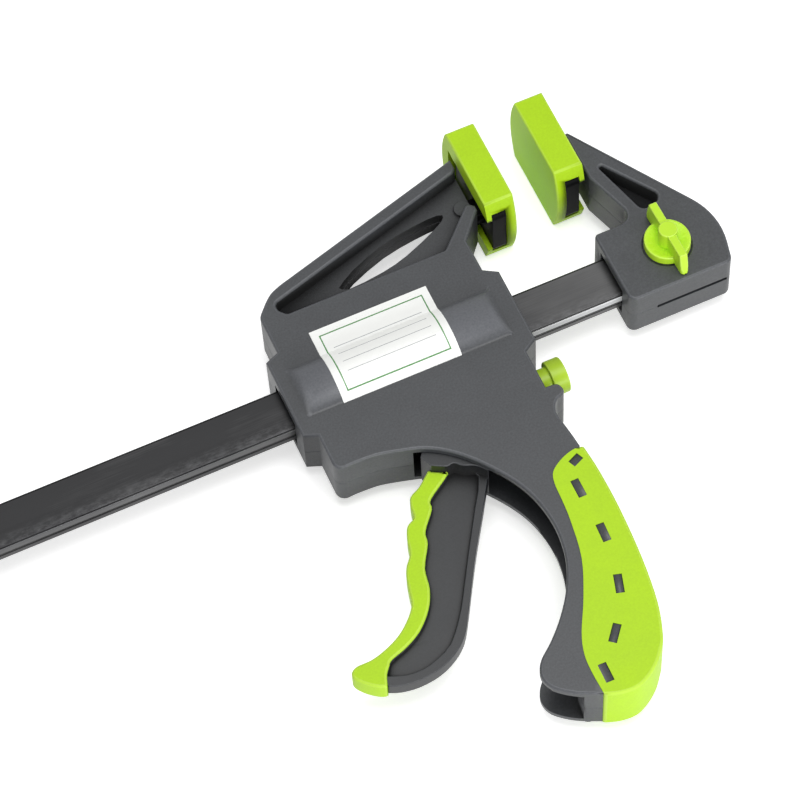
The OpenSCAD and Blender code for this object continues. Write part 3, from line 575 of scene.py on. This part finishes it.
@dataclass(frozen=True)
class ZincSteel(Finish):
    """Turned or stamped steel with a bright zinc coat.

    The eye sees a cool pale metal whose crystals make soft clouds of gloss, brighter at the edges.
    """

    cloud_mm: float = 1.6
    cloud_colour: str = "#8F9194"
    cloud_gloss: float = 0.25
    smoothest: float = -0.12  # the clouds' least roughness, against the finish's own
    edge_colour: str = "#D2D4D6"

    def make(self) -> bpy.types.Material:
        """Builds the material.

        Returns:
            The finished material.
        """
        material, tree, shader = self.start()
        clouds = add(
            tree,
            "TexNoise",
            {"Vector": self.place(tree), "Scale": 1 / self.cloud_mm, "Detail": 3.0},
        )
        gloss = add(
            tree,
            "Math",
            {0: clouds, 1: self.cloud_gloss, 2: self.roughness + self.smoothest},
            operation="MULTIPLY_ADD",
        )
        patches = add(
            tree,
            "MapRange",
            {"Value": clouds, "From Min": METAL_NOISE[0], "From Max": METAL_NOISE[1]},
        )
        worn_and_sheen = add(tree, "Attribute", attribute_name=WORN_AND_SHEEN).outputs["Fac"]
        metal = linear(self.colour)
        for there, paint in ((patches, self.cloud_colour), (worn_and_sheen, self.edge_colour)):
            layer = {0: there, 6: metal, 7: linear(paint)}
            metal = add(tree, "Mix", layer, data_type="RGBA").outputs[2]
        tree.links.new(metal, shader.inputs["Base Color"])
        tree.links.new(gloss.outputs[0], shader.inputs["Roughness"])
        return material


@dataclass(frozen=True)
class PrintedFilm(Finish):
    """White vinyl film with a thin printed frame and blank ruled lines.

    The eye sees a soft sheen with shallow creases where the film was pressed over the barrel.
    """

    x0: float = 0.0  # the film's edges on the clamp
    x1: float = 1.0
    y0: float = 0.0
    y1: float = 1.0
    frame_in: float = 3.4 * MM  # from the film's edge to the frame, and half the frame's width
    frame_t: float = 0.28 * MM
    rule_in: float = 3.2 * MM  # from the frame to the rules' ends, and half a rule's width
    rule_t: float = 0.16 * MM
    ink: str = "#4F8A4B"
    rule_ink: str = "#A9ADAE"
    rules: int = 5
    crease_mm: float = 14.0
    crease_slant: float = 20.0  # in degrees
    crease_narrow: float = 2.2  # how many times longer than wide a crease is
    crease_bend: float = 1.2
    crease_bump: float = 0.35
    crease_deep: float = 0.5 * MM

    def make(self) -> bpy.types.Material:
        """Builds the material.

        Returns:
            The finished material.
        """
        material, tree, shader = self.start()
        spot = add(tree, "SeparateXYZ", {0: add(tree, "TexCoord").outputs["Object"]})
        gaps = [
            add(tree, "Math", {0: near, 1: far}, operation="SUBTRACT")
            for near, far in (
                (spot.outputs["X"], self.x0),
                (self.x1, spot.outputs["X"]),
                (spot.outputs["Y"], self.y0),
                (self.y1, spot.outputs["Y"]),
            )
        ]
        depth = gaps[0]
        for gap in gaps[1:]:
            depth = add(tree, "Math", {0: depth, 1: gap}, operation="MINIMUM")
        line = add(tree, "Math", {0: depth, 1: self.frame_in, 2: self.frame_t}, operation="COMPARE")
        ruled_in = self.frame_in + self.rule_in
        inside = add(tree, "Math", {0: depth, 1: ruled_in}, operation="GREATER_THAN")
        pitch = (self.y1 - self.y0 - 2 * self.frame_in) / (self.rules + 1)
        phase = add(tree, "Math", {0: gaps[2], 1: self.frame_in}, operation="SUBTRACT")
        phase = add(tree, "Math", {0: phase, 1: pitch}, operation="FLOORED_MODULO")
        rule = add(tree, "Math", {0: phase, 1: pitch / 2, 2: self.rule_t}, operation="COMPARE")
        rule = add(tree, "Math", {0: rule, 1: inside}, operation="MULTIPLY")
        print_colour = linear(self.colour)
        for there, paint in ((rule, self.rule_ink), (line, self.ink)):
            layer = {0: there, 6: print_colour, 7: linear(paint)}
            print_colour = add(tree, "Mix", layer, data_type="RGBA").outputs[2]
        crease = add(
            tree,
            "TexNoise",
            {
                "Vector": self.place(tree, (1, self.crease_narrow, 1), self.crease_slant),
                "Scale": 1 / self.crease_mm,
                "Detail": 2.0,
                "Distortion": self.crease_bend,
            },
        )
        bump = add(
            tree,
            "Bump",
            {"Strength": self.crease_bump, "Distance": self.crease_deep, "Height": crease},
        )
        tree.links.new(print_colour, shader.inputs["Base Color"])
        tree.links.new(bump.outputs[0], shader.inputs["Normal"])
        return material


# Glass filled nylon 6: a matt charcoal grey with a faint cool cast and the clouds of the fibres,
# painted shade in its deep recesses, and a paler raised barrel that is partly rubbed and partly a
# painted sheen.
GREY_NYLON = MouldedPlastic(
    "glass_filled_nylon",
    Slot.NYLON,
    "#3A3C3F",
    0.43,
    edge=0.35,
    edge_colour="#606267",
    recess_shade=0.85,
    crest_rub_and_sheen=0.85,
)
# The trigger gets the same nylon painted darker: painted shade for its web, which lies recessed in
# the handle.
TRIGGER_NYLON = replace(
    GREY_NYLON, name="glass_filled_nylon_dark", colour="#1B1D20", edge_colour="#484A4E"
)
# The same nylon without the glass, in black: smoother, with a low dull gloss and painted shade in
# its deep recesses.
BLACK_NYLON = MouldedPlastic(
    "black_nylon_foot",
    Slot.BLACK,
    "#070708",
    0.45,
    specular=0.06,
    flow=0.08,
    speck=0.03,
    edge_colour="#242427",
    recess_shade=0.6,
)
# Lime ABS of the knob: even, slightly glossy, hardly any grain.
LIME_ABS = MouldedPlastic(
    "lime_abs",
    Slot.LIME,
    "#C0EC30",
    0.38,
    ior=1.45,
    flow=0.03,
    speck=0.012,
    bump=0.03,
    edge=0.35,
    edge_colour="#CBE86A",
    flow_mm=22,
)
# The button gets the knob's finish in a darker, duller green.
BUTTON_ABS = replace(LIME_ABS, name="lime_abs_button", colour="#A6C824")
# Lime thermoplastic elastomer of the pads and grips: matt, with a fine grain from the tool.
LIME_ELASTOMER = MouldedPlastic(
    "lime_elastomer",
    Slot.SOFT,
    "#AFD915",
    0.5,
    ior=1.38,
    flow=0.03,
    speck=0.04,
    bump=0.08,
    edge=0.3,
    edge_colour="#CDE970",
    flow_mm=20,
)
# The bar: blacked all over, and grey towards the fixed jaw, partly rubbed where the sliding jaw
# runs most and partly a painted sheen.
BAR_STEEL = OxideSteel(
    "black_oxide_steel", Slot.DARK_STEEL, "#39393A", 0.3, metallic=1.0, sheen_rub=0.47, dust=0.3
)
# The springs: drawn wire, browner and duller under its oil.
SPRING_STEEL = OxideSteel("oiled_spring_steel", Slot.DARK_STEEL, "#4A4946", 0.34, metallic=1.0)
# Pins, screws, clips and clamping plates: plated, so they stay pale and clean.
ZINC = ZincSteel("zinc_plated_steel", Slot.ZINC, "#B9BBBE", 0.32, metallic=1.0)
# The blank label: smooth and a little glossier than the plastic that it sits on.
VINYL = PrintedFilm("vinyl_label", Slot.LABEL, "#FBFCF9", 0.35)


@dataclass(frozen=True)
class Rounding:
    """One pass of edge rounding: which sharp edges it takes, and how round it makes them."""

    radius: float  # in metres
    segments: int = 2
    takes: EdgeTest = lambda edge: True
    angle: float = 32.0  # the least angle in degrees between two faces that makes an edge sharp


@dataclass
class Workshop:
    """Keeps the frame and the finishes, and holds the steps that all the sub-assemblies share."""

    frame: dict[str, Any]
    made: dict[str, bpy.types.Material] = field(default_factory=dict)
    join: float = 0.002 * MM  # corners of the loose triangles closer than this are one corner
    flat: float = 0.6  # triangles that meet under this angle in degrees are one face
    reach: float = 0.6 * MM  # what lies closer to an edge than this is fitted against it
    smooth: float = 40.0  # faces that meet under this angle in degrees are shaded as one
    large_face_weight: int = 80

    def finish(self, finish: Finish) -> bpy.types.Material:
        """Builds a finish once and gives it again afterwards.

        Args:
            finish: the finish that is wanted.

        Returns:
            Its material.
        """
        if finish.name not in self.made:
            self.made[finish.name] = finish.make()
        return self.made[finish.name]

    def copy_of(self, node: str) -> bmesh.types.BMesh:
        """Copies a CAD node's mesh and joins its loose triangles into clean flat faces.

        Args:
            node: the CAD node.

        Returns:
            A new mesh in the frame's place.
        """
        mesh = bmesh.new()
        mesh.from_mesh(self.frame["nodes"][node].data)
        for name in (WORN_AND_SHEEN, OIL_AND_SHADE):
            mesh.faces.layers.float.new(name)
        bmesh.ops.remove_doubles(mesh, verts=mesh.verts, dist=self.join)
        angle = math.radians(self.flat)
        bmesh.ops.dissolve_limit(mesh, angle_limit=angle, verts=mesh.verts, edges=mesh.edges)
        return mesh

    def away_from(self, *nodes: str) -> EdgeTest:
        """Makes a test that an edge lies clear of what is fitted against it.

        Args:
            *nodes: the CAD nodes that fit closely.

        Returns:
            A test for an edge.
        """
        trees = []
        for node in nodes:
            mesh = bmesh.new()
            mesh.from_mesh(self.frame["nodes"][node].data)
            trees.append(BVHTree.FromBMesh(mesh))
            mesh.free()

        def clear(edge: bmesh.types.BMEdge) -> bool:
            """Whether the edge's middle has nothing beside it."""
            middle = (edge.verts[0].co + edge.verts[1].co) / 2
            return all(tree.find_nearest(middle, self.reach)[0] is None for tree in trees)

        return clear

    def soften(self, mesh: bmesh.types.BMesh, rounding: Rounding) -> None:
        """Rounds a mesh's sharp outer edges and marks the new faces as worn.

        Args:
            mesh: the mesh.
            rounding: how far and which edges.
        """
        limit = math.radians(rounding.angle)
        edges = [
            edge
            for edge in mesh.edges
            if len(edge.link_faces) == 2
            and edge.calc_face_angle(0) > limit
            and edge.is_convex
            and rounding.takes(edge)
        ]
        made = bmesh.ops.bevel(
            mesh,
            geom=edges,
            offset=rounding.radius,
            offset_type="OFFSET",
            segments=rounding.segments,
            profile=0.5,
            affect="EDGES",
            clamp_overlap=False,
            material=-1,
        )
        worn_and_sheen = mesh.faces.layers.float[WORN_AND_SHEEN]
        for face in made["faces"]:
            face[worn_and_sheen] = 1.0

    def put(
        self,
        name: str,
        mesh: bmesh.types.BMesh,
        body: Body,
        finish: Finish,
        replaces: Iterable[str] = (),
    ) -> bpy.types.Object:
        """Turns a mesh into a finished piece of the clamp.

        Args:
            name: the piece's name.
            mesh: its mesh, which is used up.
            body: the body that it moves with.
            finish: its finish.
            replaces: the CAD nodes that it stands for.

        Returns:
            The new object.
        """
        data = bpy.data.meshes.new(name)
        mesh.to_mesh(data)
        mesh.free()
        data.shade_smooth()
        data.set_sharp_from_angle(angle=math.radians(self.smooth))
        data.materials.append(self.finish(finish))
        made = bpy.data.objects.new(name, data)
        bpy.context.scene.collection.objects.link(made)
        normals = made.modifiers.new("even_normals", "WEIGHTED_NORMAL")
        normals.keep_sharp = True
        normals.weight = self.large_face_weight
        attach(made, body.value)
        nodes = list(replaces)
        if nodes:
            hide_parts(*nodes)
        log.info("%s: %d faces on %s", name, len(data.polygons), body.value)
        return made

    def dress(self, node: str, finish: Finish) -> None:
        """Leaves a CAD node as it is and gives it its finish.

        Args:
            node: the CAD node.
            finish: its finish.
        """
        data = self.frame["nodes"][node].data
        data.materials.clear()
        data.materials.append(self.finish(finish))
        log.info("%s: kept, %s", node, finish.name)

    def take_over(
        self, node: str, body: Body, finish: Finish, *roundings: Rounding
    ) -> bpy.types.Object:
        """Makes a piece from a CAD node with its outer edges rounded.

        Args:
            node: the CAD node.
            body: the body that it moves with.
            finish: its finish.
            *roundings: the passes of rounding, in order.

        Returns:
            The new object.
        """
        mesh = self.copy_of(node)
        for rounding in roundings:
            self.soften(mesh, rounding)
        return self.put(node + "_shape", mesh, body, finish, [node])


@dataclass
class Rail:
    """The flat bar with its end stop."""

    shop: Workshop
    line_z: float = -0.1 * MM  # the rolled line along the middle of the narrow face
    line_half: float = 0.9 * MM
    line_deep: float = 0.4 * MM
    cut: float = 0.001 * MM  # a corner closer to a cut than this lies on it
    side_from: float = 0.85  # how far sideways a face looks to get the painted highlight
    edge_from: float = 0.05  # how far sideways a face looks to get painted shade
    # painted shade on the rounded edge above the roll line, which takes the glint off it
    edge_shade: float = 0.6
    stop_r: float = 0.4 * MM

    def build(self) -> None:
        """Makes the bar and its stop pin."""
        mesh = self.shop.copy_of("bar")
        self.roll_line(mesh)
        worn_and_sheen, oil_and_shade = (mesh.faces.layers.float[name] for name in (WORN_AND_SHEEN, OIL_AND_SHADE))
        # above the roll line the narrow faces get the painted highlight, and the rounded edge
        # painted shade
        for face in mesh.faces:
            if face.calc_center_median().z < self.line_z:
                continue
            if abs(face.normal.y) > self.side_from:
                face[worn_and_sheen] = 1.0
            elif abs(face.normal.y) > self.edge_from:
                face[oil_and_shade] = self.edge_shade
        self.shop.put("bar_shape", mesh, Body.BAR, BAR_STEEL, ["bar"])
        self.shop.take_over("bar_end_stop", Body.BAR, ZINC, Rounding(self.stop_r))

    def roll_line(self, mesh: bmesh.types.BMesh) -> None:
        """Presses the fine line that the rolls leave along both narrow faces.

        Args:
            mesh: the bar's mesh.
        """
        for step in (-1, 0, 1):
            bmesh.ops.bisect_plane(
                mesh,
                geom=[*mesh.verts, *mesh.edges, *mesh.faces],
                dist=self.cut,
                plane_co=(0, 0, self.line_z + step * self.line_half),
                plane_no=(0, 0, 1),
            )
        low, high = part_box("bar")
        oil_and_shade = mesh.faces.layers.float[OIL_AND_SHADE]
        for side in (low.y, high.y):
            for face in mesh.faces:
                middle = face.calc_center_median()
                if abs(middle.y - side) < NEAR and abs(middle.z - self.line_z) < self.line_half:
                    face[oil_and_shade] = 1.0
            pressed = [
                corner
                for corner in mesh.verts
                if abs(corner.co.y - side) < NEAR and abs(corner.co.z - self.line_z) < NEAR
            ]
            inward = math.copysign(self.line_deep, low.y + high.y - 2 * side)
            bmesh.ops.translate(mesh, verts=pressed, vec=(0, inward, 0))


@dataclass
class Pads:
    """The two swivelling pads with their feet and pins."""

    shop: Workshop
    edge_r: float = 0.8 * MM
    edge_steps: int = 3
    foot_r: float = 0.4 * MM

    def outer(self, side: Side) -> EdgeTest:
        """Tells a pad's outer edges from those of its hollow.

        Args:
            side: the jaw that carries the pad.

        Returns:
            A test for an edge.
        """
        low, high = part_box(f"{side.value}_pad")
        face = low.x if side is Side.FIXED else high.x

        def on_outside(edge: bmesh.types.BMEdge) -> bool:
            """Whether the edge bounds the clamping face or a flat side."""
            points = [v.co for v in edge.verts]
            return any(
                all(abs(p[axis] - place) < NEAR for p in points)
                for axis, place in ((0, face), (2, low.z), (2, high.z))
            )

        return on_outside

    def build(self) -> None:
        """Makes both pads."""
        for side, body in ((Side.FIXED, Body.FIXED_PAD), (Side.MOVING, Body.MOVING_PAD)):
            pad_edges = Rounding(self.edge_r, self.edge_steps, self.outer(side))
            self.shop.take_over(f"{side.value}_pad", body, LIME_ELASTOMER, pad_edges)
            self.shop.take_over(f"{side.value}_foot", body, BLACK_NYLON, Rounding(self.foot_r))
            self.shop.dress(f"{side.value}_swivel_pin", ZINC)


@dataclass
class Shells:
    """The roundings that the two halves of a moulded body share."""

    front_r: float = 1.1 * MM
    rear_r: float = 0.9 * MM
    edge_steps: int = 3
    seam_r: float = 0.2 * MM
    seam_steps: int = 1
    sharp: float = 50.0  # the least angle in degrees that makes an outer edge sharp
    outer_from: float = 3 * MM  # how far from the parting plane an edge is an outer one

    def roundings(self, half: Half, clear: EdgeTest = lambda edge: True) -> tuple[Rounding, ...]:
        """Gives the passes for one half.

        Args:
            half: which half.
            clear: tells the outer edges that nothing is fitted against.

        Returns:
            The pass for the outer edges and the one for the parting edges.
        """
        sign, radius = (1, self.front_r) if half is Half.FRONT else (-1, self.rear_r)

        def outer(edge: bmesh.types.BMEdge) -> bool:
            """Whether the edge is an outer one with nothing beside it."""
            return min(sign * v.co.z for v in edge.verts) > self.outer_from and clear(edge)

        def parting(edge: bmesh.types.BMEdge) -> bool:
            """Whether the edge lies in the parting plane."""
            return all(abs(v.co.z) < NEAR for v in edge.verts)

        return (
            Rounding(radius, self.edge_steps, outer, self.sharp),
            Rounding(self.seam_r, self.seam_steps, parting),
        )


@dataclass
class FixedJaw(Shells):
    """The jaw at the bar's end, with its screws and the lock knob."""

    shop: Workshop = field(kw_only=True)
    knob_r: float = 0.5 * MM

    def build(self) -> None:
        """Makes the jaw's halves, screws and lock."""
        for half in Half:
            shell = f"fixed_jaw_{half.value}_shell"
            self.shop.take_over(shell, Body.BAR, GREY_NYLON, *self.roundings(half))
        self.shop.take_over("fixed_jaw_screws", Body.BAR, ZINC)
        knob_edges = Rounding(self.knob_r, self.edge_steps)
        self.shop.take_over("lock_knob", Body.LOCK, LIME_ABS, knob_edges)
        for node in ("lock_pin", "lock_clip"):
            self.shop.dress(node, ZINC)


@dataclass
class TriggerJaw(Shells):
    """The sliding jaw's body with its handle, grip, label and screws."""

    shop: Workshop = field(kw_only=True)
    outer_from: float = 11.2 * MM
    grip_r: float = 1.2 * MM
    grip_steps: int = 4
    drive_travel: float = 6.6 * MM  # how far the drive plates push their spring together
    brake_travel: float = 2.9 * MM  # how far the brake plate pushes its spring together

    def build(self) -> None:
        """Makes the body's halves and what is fixed to them."""
        clear = self.shop.away_from("handle_grip", "label")
        for half in Half:
            shell = f"housing_{half.value}_shell"
            self.shop.take_over(shell, Body.JAW, GREY_NYLON, *self.roundings(half, clear))
        self.shop.take_over("housing_screws", Body.JAW, ZINC)
        outside = self.shop.away_from("housing_front_shell", "housing_rear_shell")
        grip_edges = Rounding(self.grip_r, self.grip_steps, outside)
        self.shop.take_over("handle_grip", Body.JAW, LIME_ELASTOMER, grip_edges)
        self.label()
        self.spring("drive_spring", Joint.DRIVE, self.drive_travel)
        self.spring("brake_spring", Joint.BRAKE, self.brake_travel)
        self.shop.dress("trigger_pin", ZINC)

    def spring(self, node: str, joint: Joint, travel: float) -> None:
        """Makes a coil spring from its CAD node, with a mesh of its own.

        Args:
            node: the spring's CAD node.
            joint: not used.
            travel: not used.
        """
        made = self.shop.take_over(node, Body.JAW, SPRING_STEEL)
        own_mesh(made)

    def label(self) -> None:
        """Makes the blank label over the barrel."""
        low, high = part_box("label")
        film = replace(VINYL, x0=low.x, x1=high.x, y0=low.y, y1=high.y)
        self.shop.take_over("label", Body.JAW, film)


@dataclass
class TriggerSet:
    """The trigger with its soft grip."""

    shop: Workshop
    rim_r: float = 0.4 * MM
    grip_r: float = 1.0 * MM
    grip_steps: int = 3

    def build(self) -> None:
        """Makes the trigger and its grip."""
        self.shop.take_over("trigger", Body.TRIGGER, TRIGGER_NYLON, Rounding(self.rim_r))
        grip_edges = Rounding(self.grip_r, self.grip_steps)
        self.shop.take_over("trigger_grip", Body.TRIGGER, LIME_ELASTOMER, grip_edges)


@dataclass
class FeedWorks:
    """The drive plates, the brake plate and the release button."""

    shop: Workshop
    plate_r: float = 0.2 * MM
    button_r: float = 0.6 * MM
    button_steps: int = 3

    def build(self) -> None:
        """Makes the plates and the button."""
        self.shop.take_over("drive_plates", Body.DRIVE, ZINC, Rounding(self.plate_r))
        self.shop.take_over("brake_plate", Body.BRAKE, ZINC, Rounding(self.plate_r))
        button_edges = Rounding(self.button_r, self.button_steps)
        self.shop.take_over("release_button", Body.BUTTON, BUTTON_ABS, button_edges)
        self.shop.dress("button_clip", ZINC)


@dataclass(frozen=True)
class SoftBox:
    """A lamp behind a diffuser."""

    name: str
    offset: tuple[float, float, float]  # from what it lights
    size: tuple[float, float]
    power: float  # in watts

    def hang(self, middle: Vector) -> None:
        """Hangs the lamp so that it points at the middle.

        Args:
            middle: the middle of what it lights.
        """
        data = bpy.data.lights.new(self.name, "AREA")
        data.shape, data.energy = "RECTANGLE", self.power
        data.size, data.size_y = self.size
        made = bpy.data.objects.new(self.name, data)
        made.location = middle + Vector(self.offset)
        made.rotation_euler = (middle - made.location).to_track_quat("-Z", "Y").to_euler()
        bpy.context.scene.collection.objects.link(made)


@dataclass
class Studio:
    """The floor, the lights and the camera."""

    floor_z: float
    lens: float = 157.5
    sensor: float = 36.0
    clip: tuple[float, float] = (0.05, 20.0)
    place: tuple[float, float, float] = (-0.33999, -0.73003, 1.251676)  # of the camera
    right: tuple[float, float, float] = (0.912130, -0.408352, -0.035599)
    down: tuple[float, float, float] = (-0.373325, -0.791742, -0.483501)
    forward: tuple[float, float, float] = (0.169253, 0.454306, -0.874620)
    middle: tuple[float, float, float] = (-0.08, -0.09, 0.0)  # of what the lamps light
    overhead: SoftBox = SoftBox("overhead", (0.1, -0.05, 1.5), (0.9, 0.9), 13.5)
    front: SoftBox = SoftBox("front", (0.08, -1.4, 0.36), (1.4, 0.3), 13)
    bench_half: float = 4.0
    bench_colour: str = "#FAFAFA"
    bench_glow: float = 0.52  # how much whiter the camera sees the bench
    bench_gleam: float = 0.4  # how much whiter the metal shows it
    around: float = 0.34  # how strong the plain light from all sides is

    def build(self) -> None:
        """Sets up the picture."""
        bpy.context.scene.view_settings.view_transform = "Standard"
        self.camera()
        self.floor()
        self.world()
        for lamp in (self.overhead, self.front):
            lamp.hang(Vector(self.middle))

    def camera(self) -> None:
        """Places the camera where the photograph was taken from."""
        data = bpy.data.cameras.new("camera")
        data.lens, data.sensor_width, data.sensor_fit = self.lens, self.sensor, "HORIZONTAL"
        data.clip_start, data.clip_end = self.clip
        camera = bpy.data.objects.new("camera", data)
        right, up, back = Vector(self.right), -Vector(self.down), -Vector(self.forward)
        turn = Matrix((right, up, back)).transposed().to_4x4()
        camera.matrix_world = Matrix.Translation(self.place) @ turn
        bpy.context.scene.collection.objects.link(camera)
        bpy.context.scene.camera = camera

    def floor(self) -> None:
        """Lays the plain white bench under the clamp."""
        mesh = bmesh.new()
        bmesh.ops.create_grid(mesh, x_segments=1, y_segments=1, size=self.bench_half)
        bmesh.ops.translate(mesh, verts=mesh.verts, vec=(0, 0, self.floor_z))
        data = bpy.data.meshes.new("floor")
        mesh.to_mesh(data)
        mesh.free()
        material = bpy.data.materials.new("white_bench")
        material.use_nodes = True
        tree = material.node_tree
        tree.nodes.clear()
        plain = add(tree, "BsdfDiffuse", {"Color": linear(self.bench_colour)})
        rays = add(tree, "LightPath")
        surface = plain
        for ray, strength in (
            ("Is Camera Ray", self.bench_glow),
            ("Is Glossy Ray", self.bench_gleam),
        ):
            glow = add(tree, "Emission", {"Color": (1, 1, 1, 1), "Strength": strength})
            lit = add(tree, "AddShader", {0: plain, 1: glow})
            surface = add(tree, "MixShader", {0: rays.outputs[ray], 1: surface, 2: lit})
        add(tree, "OutputMaterial", {"Surface": surface})
        data.materials.append(material)
        floor = bpy.data.objects.new("floor", data)
        bpy.context.scene.collection.objects.link(floor)
        floor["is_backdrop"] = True

    def world(self) -> None:
        """Surrounds the clamp with plain light, and shows the eye pure white."""
        world = bpy.data.worlds.new("studio")
        world.use_nodes = True
        tree = world.node_tree
        tree.nodes.clear()
        rays = add(tree, "LightPath")
        seen = rays.outputs["Is Camera Ray"]
        for ray in ("Is Transmission Ray", "Is Glossy Ray"):
            seen = add(tree, "Math", {0: seen, 1: rays.outputs[ray]}, operation="MAXIMUM")
        light, white = (
            add(tree, "Background", {"Color": (1, 1, 1, 1), "Strength": strength})
            for strength in (self.around, 1.0)
        )
        add(tree, "OutputWorld", {"Surface": add(tree, "MixShader", {0: seen, 1: light, 2: white})})
        bpy.context.scene.world = world


def main() -> None:
    """Builds the clamp and its studio."""
    logging.basicConfig(level=logging.INFO, format="%(message)s")
    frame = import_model()
    cad_low, cad_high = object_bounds()
    shop = Workshop(frame)
    Studio(floor_z=cad_low.z - FLOOR_GAP).build()
    for part in (
        Rail(shop),
        Pads(shop),
        FixedJaw(shop=shop),
        TriggerJaw(shop=shop),
        TriggerSet(shop),
        FeedWorks(shop),
    ):
        part.build()
        log.info("built %s", type(part).__name__)


if __name__ == "__main__":
    main()
